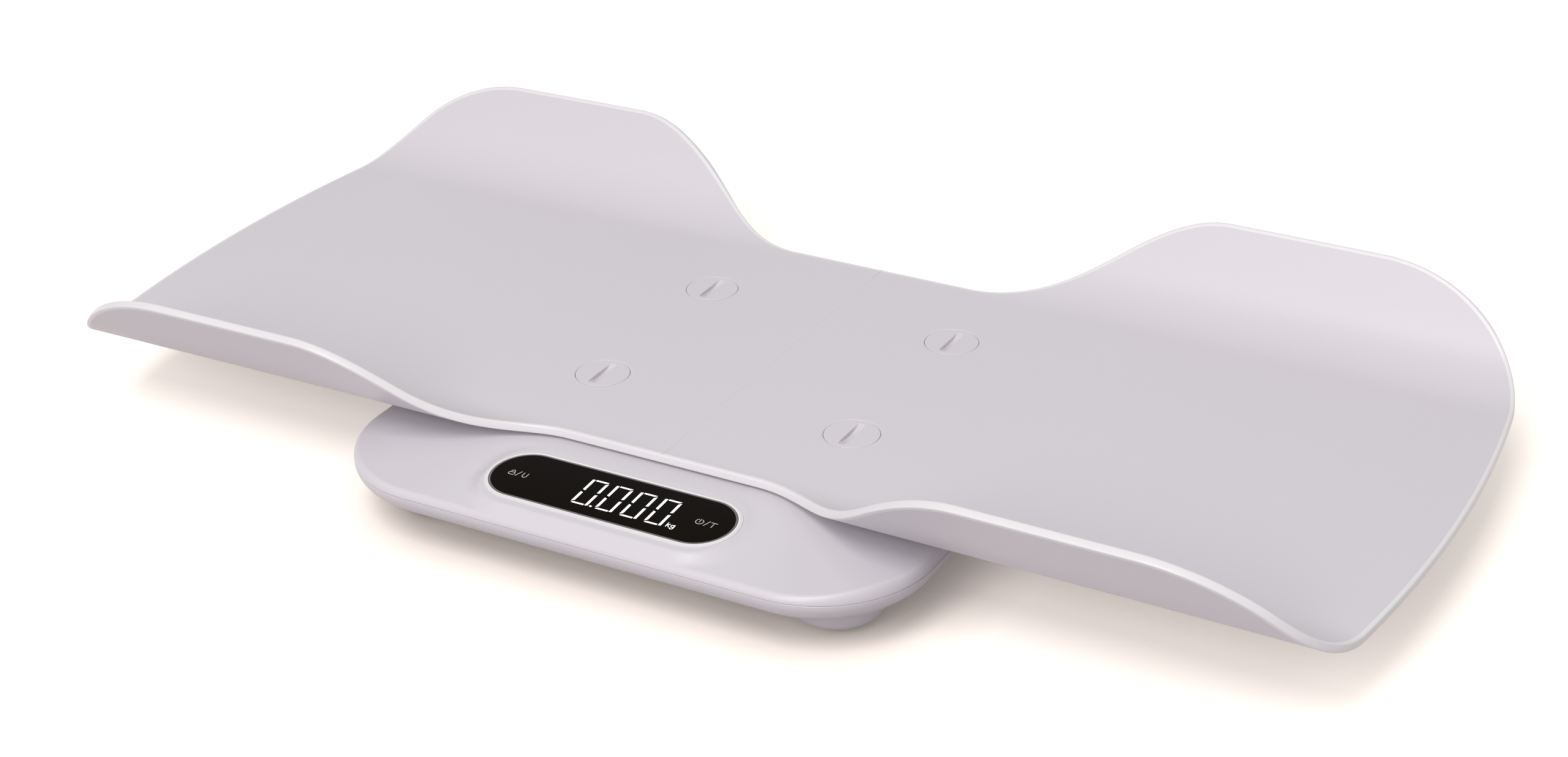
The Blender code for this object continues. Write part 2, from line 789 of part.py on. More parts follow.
def make_display(window, rim, glass, dark, board_green, foam, black):
    """Bezel, lens, number display, board, touch pads and buzzer, stacked in the display's frame."""
    top = bezel_stand - lens_sink
    ledge = top - lens_thickness - running_gap
    bezel = solid("display_bezel", window_frame(-bezel_width, -bezel_sink, bezel_stand), rim, window)
    join(bezel, "bezel_neck", window_frame(-bezel_neck, -bezel_depth, 0), window)
    cut(bezel, "bezel_opening", window_frame(lens_ledge, -bezel_depth - overrun, overrun), window)
    cut(bezel, "lens_seat", window_frame(0, ledge, overrun), window)
    solid("display_lens", window_frame(running_gap, top - lens_thickness, top), glass, window)
    led_top = top - lens_thickness - seat_gap
    led = block(-led_half_length, led_half_length, -led_half_width, led_half_width, led_top - led_height, led_top)
    solid("number_display", moved(led, x=led_offset_x), dark, window)
    high = led_top - led_height - seat_gap
    plate = block(
        -board_half_length, board_half_length, -board_half_width, board_half_width, high - board_thickness, high
    )
    solid("circuit_board", plate, board_green, window)
    pad_top = led_top
    for side, name in ((-1, "touch_pad_left"), (1, "touch_pad_right")):
        pad = cylinder(touch_pad_radius, high + seat_gap, pad_top, small_sides)
        solid(name, moved(pad, x=side * touch_pad_x), foam, window)
    low = high - board_thickness - seat_gap
    buzzer = cylinder(buzzer_radius, low - buzzer_height, low, small_sides, buzzer_x)
    solid("buzzer", buzzer, black, window)


def make_foot(place, x, y, cup_finish, rubber, steel):
    """A domed foot cup with its rubber pad below and its load cell on top."""
    low = pad_thickness + seat_gap - pad_recess
    seat = low + pad_recess
    profile = [(0, seat), (pad_radius + seat_gap, seat), (pad_radius + seat_gap, low)]
    for k in range(dome_steps + 1):
        angle = math.pi / 2 * k / dome_steps
        radius = foot_bottom_radius + (foot_radius - foot_bottom_radius) * math.sin(angle)
        profile.append((radius, base_bottom - (base_bottom - low) * math.cos(angle)))
    inner = foot_radius - foot_wall
    profile += [(foot_radius, foot_top), (inner, foot_top), (inner, base_bottom)]
    profile += [(foot_bottom_radius, seat + foot_wall), (foot_post_radius, seat + foot_wall)]
    profile += [(foot_post_radius, foot_top), (0, foot_top)]
    solid("foot_cup_" + place, turned(profile, foot_sides, x, y), cup_finish)
    rounding = pad_recess / 3
    pad = [(0, 0), (pad_radius - rounding, 0), (pad_radius, rounding)]
    pad += [(pad_radius, pad_thickness), (0, pad_thickness)]
    solid("foot_pad_" + place, turned(pad, foot_sides, x, y), rubber)
    side = cell_half_side
    plate = rounded_box(side, side, cell_rim / 2, 2)
    cell = solid("load_cell_" + place, moved(prism(plate, cell_top - cell_thickness, cell_top), x, y), steel)
    reach = side - cell_rim
    half = cell_tongue / 2
    low = cell_top - cell_thickness - overrun
    high = cell_top + overrun
    slots = [
        (half, half + cell_slot, -reach, reach),
        (-half - cell_slot, -half, -reach, reach),
    ]
    cuts = [moved(block(a, b, c, d, low, high), x, y) for a, b, c, d in slots]
    cut(cell, "cell_slots_" + place, joined(cuts))
    bar = block(-half - cell_slot / 2, half + cell_slot / 2, reach - cell_slot, reach, low, high)
    cut(cell, "cell_end_slot_" + place, moved(bar, x, y))
    gauge_half = cell_tongue / 3
    low = cell_top - cell_thickness / 2
    high = cell_top + gauge_height
    gauge = block(-gauge_half, gauge_half, -reach, -reach + cell_tongue, low, high)
    join(cell, "cell_gauge_" + place, moved(gauge, x, y))


def make_batteries(jacket, nickel):
    """Cells side by side along X with a plain contact at one end and a domed one at the other."""
    level = base_bottom + cover_thickness + cover_gap + seat_gap + battery_radius
    span = battery_pitch * (battery_count - 1)
    for i in range(battery_count):
        y = bay_y - span / 2 + i * battery_pitch
        flip = 1 if i % 2 == 0 else -1
        profile = [
            (0, -battery_length / 2),
            (battery_radius, -battery_length / 2),
            (battery_radius, battery_length / 2 - battery_nub_length),
            (battery_nub_radius, battery_length / 2 - battery_nub_length),
            (battery_nub_radius, battery_length / 2),
            (0, battery_length / 2),
        ]
        cell = solid("battery_%d" % (i + 1), turned(profile, small_sides), jacket)
        cell.rotation_euler = (0.0, flip * math.pi / 2, 0.0)
        cell.location = (base_offset_x, y, level)
    x0, x1, y0, y1 = bay_limits(-seat_gap)
    inset = contact_thickness
    for name, x, side in (("contact_plate_left", x0, 1), ("contact_plate_right", x1, -1)):
        low_x, high_x = sorted((x, x + side * inset))
        plate = block(low_x, high_x, y0, y1, level - battery_radius, level + battery_radius)
        contact = solid(name, plate, nickel)
        domes = []
        for i in range(battery_count):
            y = bay_y - span / 2 + i * battery_pitch
            reach = bay_end_room - seat_gap * 2
            profile = [(0, 0), (contact_dome_radius, 0), (contact_dome_radius / 2, reach), (0, reach)]
            dome = turned(profile, post_sides)
            points = [(x + side * pz, y + py, level + px) for px, py, pz in dome[0]]
            domes.append(outward((points, dome[1])))
        join(contact, name + "_domes", joined(domes))


def make_cover(finish):
    """The battery cover, a plate that pulls straight off, with a finger grip near its front edge."""
    x0, x1, y0, y1 = bay_limits(cover_margin)
    axis = empty("cover_axis", (base_offset_x, y1, base_bottom), footprint)
    plate = block(x0 - base_offset_x, x1 - base_offset_x, y0 - y1, 0, 0, cover_thickness)
    cover = solid("battery_cover", plate, finish, axis)
    grip = cylinder(cover_grip_radius, -overrun, cover_grip_depth, small_sides, 0, y0 - y1 + 2 * cover_grip_radius)
    cut(cover, "cover_grip", grip, axis)


def make_screws(steel):
    """Case screws, heads up in their wells in the underside."""
    seat = screw_seat - screw_well_floor - screw_gap
    for i, (x, y) in enumerate(SCREW_PLACES):
        profile = [
            (0, seat - screw_head_height),
            (screw_head_radius, seat - screw_head_height),
            (screw_head_radius, seat),
            (screw_shank_radius, seat),
            (screw_shank_radius, screw_seat + screw_reach - screw_gap),
            (0, screw_seat + screw_reach - screw_gap),
        ]
        screw = solid("case_screw_%d" % (i + 1), turned(profile, post_sides, x, y), steel)
        drive = screw_drive_radius
        low = seat - screw_head_height - overrun
        recess = block(x - drive, x + drive, y - drive, y + drive, low, seat - screw_head_height + screw_drive_depth)
        cut(screw, "screw_drive_%d" % (i + 1), recess)


def make_leads(finish):
    """One lead from each load cell to the circuit board, clear above the foot cups."""
    start_height = cell_top - cell_thickness / 2
    for place, (x, y) in FOOT_PLACES.items():
        side = -1 if x < base_offset_x else 1
        start = (x - side * (cell_half_side + seat_gap + lead_radius), y, start_height)
        corner = (base_offset_x + side * lead_corner_x, screw_front_y, lead_height)
        if y > 0:
            lane = x - side * lead_lane
            end = (base_offset_x + side * lead_end_x, window_y + lead_end_spread, board_under)
            route = [start, (lane, y - foot_radius, lead_height), (lane, window_y / 2, lead_height), corner, end]
        else:
            end = (base_offset_x + side * (lead_end_x + lead_end_step), window_y, board_under)
            route = [start, (corner[0] + side * lead_end_step, y + foot_radius / 2, lead_height), end]
        make_lead("load_cell_lead_" + place, route, finish)


def make_lead(name, route, finish):
    """A thin tube along a smooth curve through the route's points."""
    knots = np.array(route)
    along = np.concatenate([[0], np.cumsum(np.linalg.norm(np.diff(knots, axis=0), axis=1))])
    count = max(8, int(along[-1] / (lead_radius * 8)))
    where = np.linspace(0, along[-1], count)
    points = np.column_stack([smooth_path(along, knots[:, k], where) for k in range(3)])
    curve = bpy.data.curves.new(name, "CURVE")
    curve.dimensions = "3D"
    curve.bevel_depth = lead_radius
    curve.bevel_resolution = 1
    curve.use_fill_caps = True
    spline = curve.splines.new("POLY")
    spline.points.add(len(points) - 1)
    for point, place in zip(spline.points, points):
        point.co = (*place, 1.0)
    obj = bpy.data.objects.new(name, curve)
    curve.materials.append(finish)
    bpy.context.scene.collection.objects.link(obj)
    obj.parent = footprint


def smooth_path(along, values, where):
    """Values on a smooth cubic through the knots, with each knot's slope from its neighbours."""
    slopes = np.gradient(values, along)
    span = np.clip(np.searchsorted(along, where, side="right") - 1, 0, len(along) - 2)
    length = along[span + 1] - along[span]
    t = (where - along[span]) / length
    first = (1 + 2 * t) * (1 - t) ** 2 * values[span] + t * (1 - t) ** 2 * length * slopes[span]
    second = t**2 * (3 - 2 * t) * values[span + 1] + t**2 * (t - 1) * length * slopes[span + 1]
    return first + second


# Places that several pieces share
screw_seat = parting_height - 2 * shell_wall
cell_top = foot_top + seat_gap + cell_thickness
bay_roof = base_bottom + cover_thickness + cover_gap + 2 * seat_gap + 2 * battery_radius
board_top = bezel_stand - lens_sink - lens_thickness - 2 * seat_gap - led_height
window_level = deck_height - front_fall * (-window_y - front_fall_start)
board_under = window_level + board_top - board_thickness - seat_gap - lead_radius * 2


def main():
    global footprint
    for obj in list(bpy.data.objects):
        bpy.data.objects.remove(obj, do_unlink=True)
    footprint = empty("footprint", (0.0, footprint_shift, 0.0))
    white = material("white_plastic", (0.64, 0.60, 0.65), 0.38)
    knob_white = material("knob_plastic", (0.64, 0.60, 0.65), 0.35)
    rim_white = material("bezel_plastic", (0.85, 0.85, 0.87), 0.25)
    glass = material("black_window", (0.010, 0.008, 0.007), 0.08)
    display_dark = material("display_module", (0.03, 0.03, 0.03), 0.4)
    green = material("circuit_board", (0.02, 0.16, 0.06), 0.45)
    foam = material("conductive_foam", (0.10, 0.10, 0.11), 0.8)
    black = material("black_plastic", (0.02, 0.02, 0.02), 0.4)
    rubber = material("foot_rubber", (0.30, 0.29, 0.31), 0.8)
    steel = material("steel", (0.60, 0.60, 0.62), 0.35, 1.0)
    nickel = material("nickel_plate", (0.70, 0.68, 0.62), 0.3, 1.0)
    jacket = material("battery_jacket", (0.10, 0.22, 0.30), 0.35)
    cable = material("lead_jacket", (0.55, 0.55, 0.57), 0.5)

    sheet = outward(tray_sheet())
    make_tray(sheet, -1, white)
    make_tray(sheet, 1, white)
    for place, (x, y) in KNOB_PLACES.items():
        make_knob(place, x, y, knob_white, steel)
    window = make_window_axis()
    make_upper_shell(white, window)
    make_lower_shell(white)
    make_display(window, rim_white, glass, display_dark, green, foam, black)
    for place, (x, y) in FOOT_PLACES.items():
        make_foot(place, x, y, white, rubber, steel)
    make_batteries(jacket, nickel)
    make_cover(white)
    make_screws(steel)
    make_leads(cable)


main()
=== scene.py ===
"""Digital baby scale: the finished look of its cradle tray, coin knobs, base, window and feet.

Metres, +Z up, the table at z = 0. Surfaces are numpy grids about the tray's own centre, and
`footprint_shift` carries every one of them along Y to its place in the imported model.
"""

import math

import bmesh
import bpy
import numpy as np
from mathutils import Matrix, Vector


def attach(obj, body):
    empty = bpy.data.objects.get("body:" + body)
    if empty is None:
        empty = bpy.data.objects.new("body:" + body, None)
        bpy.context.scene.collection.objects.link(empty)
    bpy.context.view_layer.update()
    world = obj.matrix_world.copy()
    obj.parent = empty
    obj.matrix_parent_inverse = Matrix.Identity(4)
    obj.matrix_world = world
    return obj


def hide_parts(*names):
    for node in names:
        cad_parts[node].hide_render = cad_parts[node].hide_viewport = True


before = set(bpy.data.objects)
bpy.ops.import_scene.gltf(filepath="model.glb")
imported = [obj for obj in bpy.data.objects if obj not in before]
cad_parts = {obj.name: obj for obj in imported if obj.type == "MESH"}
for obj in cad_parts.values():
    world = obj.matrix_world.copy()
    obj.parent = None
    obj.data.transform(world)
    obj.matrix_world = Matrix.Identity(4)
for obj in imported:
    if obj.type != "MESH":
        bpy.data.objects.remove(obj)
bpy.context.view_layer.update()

# Heights above the table
deck_height = 0.0349
parting_height = 0.0251
base_bottom = 0.0106
tray_gap = 0.0007

# Tray sheet
tray_thickness = 0.0036
tray_half_length = 0.2952
waist_half_width = 0.0950
lobe_reach = 0.1512
rise_start = 0.044
rise_end = 0.150
lobe_corner_radius = 0.0717
end_bulge = 0.0050
floor_half_width = 0.0893
bend_radius = 0.0398
wall_angle = math.radians(60.5)
tray_crown = 0.0019
rim_inset = tray_thickness / 2
rim_top_round = 0.0009
rim_foot_round = 0.0006

# Scarf seam between the tray's halves
seam_run = 0.0060
seam_gap = 0.00004
seam_rim_gap = 0.00016
seam_dip = 0.00005
seam_dip_run = 0.0005
seam_gap_power = 16
seam_tip_share = 0.88
seam_level = 0.0080

# Knobs and their cups
knob_spacing_x = 0.0594
knob_spacing_y = 0.0452
knob_radius = 0.01152
knob_hole_radius = 0.01167
knob_edge_round = 0.00028
hole_edge_round = 0.00042
knob_head_thickness = 0.0036
knob_head_sink = 0.0001
cup_wall = 0.0027
cup_floor = 0.0018
cup_fillet = 0.0008
shank_radius = 0.0044
shank_gap = 0.0003
groove_depth = 0.0010
clip_thickness = 0.0008
seat_gap = 0.0003
slot_half_length = 0.00925
slot_half_width = 0.00185
slot_floor_half_width = 0.00155
slot_depth = 0.0019
slot_edge_round = 0.00012
slot_corner_power = 0.36
slot_ring_shares = (0, 0.35, 0.7, 1)
lug_half_length = 0.0092
lug_half_width = 0.0022
lug_thickness = 0.0024
pocket_gap = 0.0005
pocket_floor = 0.0022
keyhole_gap = 0.0006

# Base shells
base_offset_x = -0.0055
base_half_width = 0.1298
base_front = 0.1504
base_back = 0.100
base_corner_radius = 0.0468
shell_wall = 0.0025
parting_gap = 0.00016
parting_round = 0.00015
lip_run = 0.0026
inner_lip_run = 0.0027
belly_run = 0.0275
front_fall = 0.129
front_fall_start = 0.097
side_fall = 0.078
side_fall_start = 0.063
back_fall_margin = 0.040
fall_softness = 0.007
ridge_softness = 0.0011

# Display window, in its own tilted frame
window_fall = 0.067
window_shift = 0.0002
window_x = base_offset_x + window_shift
window_y = -0.12405
window_rise = 0.00025
window_half_length = 0.0553
window_radius = 0.01545
rim_width = 0.0017
rim_stand = 0.00032
rim_foot = 0.00006
rim_flat = 0.00060
rim_edge_round = 0.00012
rim_neck = 0.0007
rim_depth = 0.0044
lens_level = 0.0002
lens_thickness = 0.0018
lens_gap = 0.00006
lens_border = 0.00090
lens_fall = 0.00008
lens_chip = 0.00008
window_level = 0.0331
island_reach = 0.0032
island_run = 0.0075
island_front_run = 0.0044
island_power = 2.0
island_front_power = 1.12
island_edge_softness = 0.0007
window_hole_reach = 0.0226
ink_height = 0.00003

# Numbers, in the window's frame
digit_count = 4
first_digit = -0.01365
digit_pitch = 0.01122
digit_width = 0.00795
digit_top = 0.00845
digit_bottom = -0.00895
upright_width = 0.00112
level_width = 0.00084
bar_gap = 0.00034
corner_gap = 0.00050
bar_inset = 0.00008
middle_gap = 0.00125
point_place = (-0.00435, -0.00837)
point_radius = 0.00046
letter_place = (0.02985, -0.0082)
letter_height = 0.0026
letter_width = 0.00115
letter_pen = 0.00032
k_stroke_shares = (((0, 0), (0, 1)), ((1, 0.72), (0.1, 0.32)), ((0.4, 0.42), (1.08, 0)))
g_stem_shares = ((2.92, 0.70), (2.92, -0.10))
g_bowl_place_shares = (2.3, 0.40)
g_bowl_half_shares = (0.62, 0.27)
g_tail_place_shares = (2.3, -0.10)
g_tail_half_shares = (0.62, 0.22)

# Key symbols, in the window's frame
symbol_pen = 0.00034
power_place = (0.04035, -0.00005)
power_radius = 0.00160
power_stroke_share = 0.2
power_gap = math.radians(30)
slash_places = ((0.04300, -0.00180), (-0.04405, -0.00200))
slash_run = 0.00125
slash_rise = 0.00335
tare_place = (0.04640, -0.00185)
tare_width = 0.0026
tare_height = 0.00305
lock_place = (-0.04630, -0.00110)
lock_half_width = 0.00135
lock_half_height = 0.00085
lock_corner_power = 0.6
shackle_level = 0.00140
shackle_radius = 0.00080
unit_place = (-0.04035, -0.00185)
unit_radius = 0.00095
unit_height = 0.00285

# Feet
foot_x = 0.0944
foot_inset = 0.0376
foot_radius = 0.0200
foot_flat_radius = 0.0074
foot_skirt = 0.0300
foot_low = 0.0011
foot_blend = 0.0080
foot_lap = 0.00001
foot_steep_share = 0.96
pad_seat_radius = 0.0071
pad_seat_height = 0.0023

# Battery bay and screw wells in the underside
bay_y = 0.010
bay_half_x = 0.02625
bay_half_y = 0.01705
bay_roof = 0.0244
cover_margin = 0.0035
cover_seat_depth = 0.0027
well_radius = 0.0034
well_wall = 0.0016
screw_seat = 0.0201
well_floor = 0.0018
screw_hole = 0.0017
screw_side_x = 0.1000
screw_back_x = 0.0470
screw_back_y = 0.0850
screw_front_x = 0.0300
screw_front_y = -0.0960

# Steps of the grids
seam_face_steps = 26
seam_tip_steps = 24
seam_dip_steps = 7
level_steps = 16
rise_steps = 48
lobe_steps = 20
corner_side_steps = 22
corner_end_steps = 24
end_steps = 34
round_steps = 6
turn_steps = 121
knob_face_steps = 8
pill_steps = 40
corner_steps = 26
lip_steps = 14
inner_lip_steps = 6
deck_steps = 64
belly_steps = 22
inner_belly_steps = 12
flat_steps = 26
hole_steps = 24
well_steps = 3
foot_steps = 60
foot_back_steps = 12
flank_steps = 12
bowl_steps = 25
tail_steps = 9
power_steps = 29
lock_steps = 33
shackle_steps = 17
unit_steps = 13
ring_power = 1.5
side_step = 0.0021
loop_start = 0.040
weld_distance = 2e-7
sharp_angle = math.radians(33)

# Colours and grain
tray_white = (0.700, 0.664, 0.708)
# Painted highlight: the tray's rim is coloured lighter than the tray, standing in for the bright band that
# light makes along it
rim_painted_highlight_white = (0.820, 0.794, 0.818)
base_white = (0.700, 0.665, 0.708)
fine_detail = 3.0
broad_scale = 14.0
broad_detail = 2.0
grain_roughness_spread = 0.04
usual_gloss = 0.5
lens_gloss = 0.012
lit_roughness = 0.5

# Each outer finish: colour, roughness, scale and depth of its grain, drift of its colour, and for the
# black lens its metal and gloss
outer_finishes = {
    "tray_plastic": (tray_white, 0.42, 2600.0, 0.000012, 0.006),
    # The tray's rim finish is lighter than the tray itself: a painted highlight
    "tray_rim_painted_highlight": (rim_painted_highlight_white, 0.34, 2600.0, 0.000006, 0.004),
    "knob_plastic": (tray_white, 0.40, 2600.0, 0.000010, 0.004),
    "base_plastic": (base_white, 0.36, 2600.0, 0.000010, 0.006),
    "window_rim_plastic": ((0.92, 0.900, 0.925), 0.25, 3000.0, 0.000004, 0.004),
    "window_flank_plastic": ((0.790, 0.763, 0.795), 0.30, 3000.0, 0.000004, 0.004),
    "lens_border": ((0.125, 0.121, 0.112), 0.25, 3000.0, 0.000002, 0.01),
    "black_lens": ((0.0068, 0.0050, 0.0040), 0.09, 900.0, 0.0000005, 0.02, 0.0, lens_gloss),
}

# Each lit finish: colour and strength
lit_finishes = {
    "lit_white": ((0.96, 0.945, 0.925), 0.72),
    "printed_grey": ((0.36, 0.345, 0.33), 0.5),
}

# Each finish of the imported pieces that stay: colour, roughness, metal, and how their names start
inner_grain_scale = 1800.0
inner_grain_depth = 0.00001
inner_drift = 0.03
inner_finishes = {
    "circuit_board_laminate": ((0.02, 0.16, 0.06), 0.45, 0.0, ("circuit_board",)),
    "display_module_black": ((0.03, 0.03, 0.03), 0.4, 0.0, ("number_display",)),
    "conductive_foam": ((0.10, 0.10, 0.11), 0.8, 0.0, ("touch_pad_",)),
    "buzzer_black": ((0.02, 0.02, 0.02), 0.4, 0.0, ("buzzer",)),
    "foot_rubber": ((0.30, 0.29, 0.31), 0.8, 0.0, ("foot_pad_",)),
    "brushed_steel": (
        (0.60, 0.60, 0.62), 0.35, 1.0, ("load_cell_front", "load_cell_back", "knob_clip_", "case_screw_")
    ),
    "nickel_plate": ((0.70, 0.68, 0.62), 0.3, 1.0, ("contact_plate_",)),
    "battery_jacket": ((0.10, 0.22, 0.30), 0.35, 0.0, ("battery_1", "battery_2", "battery_3")),
    "lead_jacket": ((0.55, 0.55, 0.57), 0.5, 0.0, ("load_cell_lead_",)),
    "cover_plastic": (base_white, 0.4, 0.0, ("battery_cover",)),
}

# Floor and sky
floor_half = 6.0
floor_shown = (0.90, 0.835, 0.78, 1.0)
floor_bounce = (0.46, 0.437, 0.465, 1.0)
floor_glow = 1.25
floor_glow_share = 0.26
floor_plain_start = 0.60
floor_plain_end = 1.50
# Painted shadow: near the object the floor's colour passes towards this brown by ambient occlusion, within
# the reach below
floor_painted_shadow = (0.38, 0.34, 0.31, 1.0)
painted_shadow_reach = 0.032
painted_shadow_samples = 16
sky_colour = (1.0, 0.995, 0.99, 1.0)
plain_white = (1.0, 1.0, 1.0, 1.0)
sky_strength = 0.32

# Lamps: azimuth from the front and elevation in degrees, and watts
softboxes = {
    "front_softbox": (0.0, 30.0, 28.0),
    "high_softbox": (6.0, 58.0, 37.0),
    "back_softbox": (132.0, 36.0, 9.0),
}
lamp_distance = 3.0
lamp_size = 1.3
lamp_colour = (1.0, 0.995, 0.985)

# Camera
camera_place = (0.52414, -0.8912135, 0.57575)
camera_azimuth = math.radians(30.148)
camera_pitch = math.radians(27.736)
camera_roll = -0.030756
camera_lens = 63.41
camera_sensor = 36.0

# Worked-out places
floor_height = deck_height + tray_gap + tray_thickness
head_top = floor_height - knob_head_sink
head_bottom = head_top - knob_head_thickness
cup_floor_top = head_bottom - seat_gap
cup_floor_bottom = cup_floor_top - cup_floor
clip_bottom = cup_floor_bottom - seat_gap - clip_thickness
cup_foot = clip_bottom - seat_gap
pocket_floor_top = cup_foot - seat_gap
pocket_floor_bottom = pocket_floor_top - pocket_floor
lug_top = pocket_floor_bottom - seat_gap
cup_outer = knob_hole_radius + cup_wall
pocket_radius = cup_outer + pocket_gap
base_centre = np.array([base_offset_x, (base_back - base_front) / 2])
base_half = np.array([base_half_width, (base_back + base_front) / 2])
window_centre = np.array([window_x, window_y])
window_tilt = math.atan(window_fall)
wall_span = lobe_reach - floor_half_width - bend_radius * wall_angle
tray_reach = (
    floor_half_width
    + bend_radius * math.sin(wall_angle)
    + (wall_span - rim_inset) * math.cos(wall_angle)
    + rim_inset * math.sin(wall_angle)
    + rim_inset
)
footprint_shift = (base_front - tray_reach) / 2
corner_sides = {"back_left": (-1, 1), "front_left": (-1, -1), "back_right": (1, 1), "front_right": (1, -1)}
knob_reach = np.array([knob_spacing_x, knob_spacing_y])
foot_reach = np.array([foot_x, base_half[1] - foot_inset])
knob_places = {name: knob_reach * sides for name, sides in corner_sides.items()}
foot_places = {name: base_centre + foot_reach * sides for name, sides in corner_sides.items()}
screw_rows = ((screw_side_x, base_centre[1]), (screw_back_x, screw_back_y), (screw_front_x, screw_front_y))
screw_places = [(base_offset_x + side * x, y) for x, y in screw_rows for side in (-1, 1)]


# Grids of points and the pieces made of them

def placed(name, data):
    """A new object of the scene, at the origin."""
    made = bpy.data.objects.new(name, data)
    bpy.context.scene.collection.objects.link(made)
    return made


def grid_faces(shape, start, keep):
    """Four-cornered faces between neighbouring rows and columns, for the cells to keep."""
    index = start + np.arange(shape[0] * shape[1]).reshape(shape)
    quads = np.stack([index[:-1, :-1], index[:-1, 1:], index[1:, 1:], index[1:, :-1]], axis=-1)
    return quads.reshape(-1, 4) if keep is None else quads[keep]


def piece(name, grids, finishes, body, stands_for=()):
    """One object from grids whose shared edges are welded, with its faces turned outwards.

    Each grid comes with the cells to keep and the number of its finish.
    """
    points = []
    quads = []
    numbers = []
    start = 0
    for grid, keep, number in grids:
        quads.append(grid_faces(grid.shape[:2], start, keep))
        points.append(grid.reshape(-1, 3))
        numbers.append(np.full(len(quads[-1]), number))
        start += grid.shape[0] * grid.shape[1]
    points = np.concatenate(points)
    quads = np.concatenate(quads)
    used = np.unique(quads)
    points = points[used] + np.array([0.0, footprint_shift, 0.0])
    mesh = bpy.data.meshes.new(name)
    mesh.from_pydata(points.tolist(), [], np.searchsorted(used, quads).tolist())
    for finish in finishes:
        mesh.materials.append(finish)
    mesh.polygons.foreach_set("material_index", np.concatenate(numbers).astype(np.int32))
    work = bmesh.new()
    work.from_mesh(mesh)
    bmesh.ops.remove_doubles(work, verts=work.verts, dist=weld_distance)
    bmesh.ops.recalc_face_normals(work, faces=work.faces)
    work.to_mesh(mesh)
    work.free()
    mesh.shade_smooth()
    mesh.set_sharp_from_angle(angle=sharp_angle)
    made = placed(name, mesh)
    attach(made, body)
    if stands_for:
        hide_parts(*stands_for)
    return made


def whole(grid, number=0):
    """A grid with no cell left out, and the number of its finish."""
    return grid, None, number


def arc(count, start=0.0, end=math.pi / 2):
    """Angles in even steps, a quarter turn unless others are given."""
    return np.linspace(start, end, count)


def quarter_round(radius, height, out, drop, turns):
    """Points on a quarter circle: out by its sine and down by one less its cosine."""
    return [(radius + out * math.sin(a), height - drop * (1 - math.cos(a))) for a in turns]


def unit(steps):
    """Steps made one long."""
    return steps / np.linalg.norm(steps, axis=-1, keepdims=True)


def squared_wave(turn, power):
    """The cosine and sine of a turn, each raised to a small power with its sign kept."""
    across = np.sign(np.cos(turn)) * np.abs(np.cos(turn)) ** power
    along = np.sign(np.sin(turn)) * np.abs(np.sin(turn)) ** power
    return across, along


def with_level(plan, level):
    """Plan points with their heights, an array or one height for all."""
    level = np.broadcast_to(level, plan.shape[:-1])
    return np.concatenate([plan, level[..., None]], axis=-1)


# Holes in grids

def all_cells(grid):
    """Every cell of a grid, to be kept until a hole is opened."""
    return np.ones((grid.shape[0] - 1, grid.shape[1] - 1), bool)


def from_core(plan, centre, core):
    """The step to each plan point from the nearest point of a level core: a point, a line or a box."""
    step = plan - np.asarray(centre)
    return step - np.clip(step, -np.asarray(core), np.asarray(core))


def hole_block(plan, centre, core, reach):
    """Rows and columns of the smallest block of cells round every grid point nearer than reach."""
    near = np.argwhere(np.linalg.norm(from_core(plan, centre, core), axis=-1) < reach)
    low = near.min(axis=0) - 1
    high = near.max(axis=0) + 1
    return low[0], high[0], low[1], high[1]


def block_loop(block):
    """Rows and columns once round a block's edge, back to where it starts."""
    i0, i1, j0, j1 = block
    down = np.arange(i1, i0 - 1, -1)
    rows = [np.full(j1 - j0, i0), np.arange(i0, i1), np.full(j1 - j0, i1), down]
    columns = [np.arange(j0, j1), np.full(i1 - i0, j1), np.arange(j1, j0, -1), np.full(len(down), j0)]
    return np.concatenate(rows), np.concatenate(columns)


def open_block(keep, block):
    """Leaves a block of cells out."""
    i0, i1, j0, j1 = block
    keep[i0:i1, j0:j1] = False


def at_radius(line, centre, core, radius):
    """Plan points moved straight away from a core, or towards it, until they lie a radius from it."""
    step = from_core(line, centre, core)
    away = np.maximum(np.linalg.norm(step, axis=-1, keepdims=True), weld_distance)
    return line + step * (radius / away - 1)


def hole_plan(plan, block, centre, core, radius, steps):
    """Plan rings that pass evenly from the block's edge to the hole's, a radius away from its core."""
    edge = plan[block_loop(block)]
    hole = at_radius(edge, centre, core, radius)
    share = np.linspace(0, 1, steps + 1)[:, None, None]
    return edge + (hole - edge) * share


def collar(hole, centre, core, profile):
    """Rings round a hole: each (radius, height) of the profile, measured from the hole's core."""
    return np.stack([with_level(at_radius(hole, centre, core, radius), height) for radius, height in profile])


# Tray

def sheet_section(reach):
    """Cross place, height and tilt of the sheet at a reach along it: flat, an arc, then a straight wall."""
    away = np.abs(reach)
    tilt = np.clip((away - floor_half_width) / bend_radius, 0, wall_angle)
    straight = np.maximum(away - floor_half_width - bend_radius * wall_angle, 0)
    cross = np.minimum(away, floor_half_width) + bend_radius * np.sin(tilt) + straight * math.cos(wall_angle)
    height = bend_radius * (1 - np.cos(tilt)) + straight * math.sin(wall_angle)
    return np.sign(reach) * cross, height, np.sign(reach) * tilt


def edge_reach(along):
    """Reach of the grid's side edge: the waist, then half a cosine wave up to the lobe."""
    share = np.clip((along - rise_start) / (rise_end - rise_start), 0, 1)
    waist = waist_half_width - rim_inset
    lobe = lobe_reach - rim_inset
    return waist + (lobe - waist) * (1 - np.cos(math.pi * share)) / 2


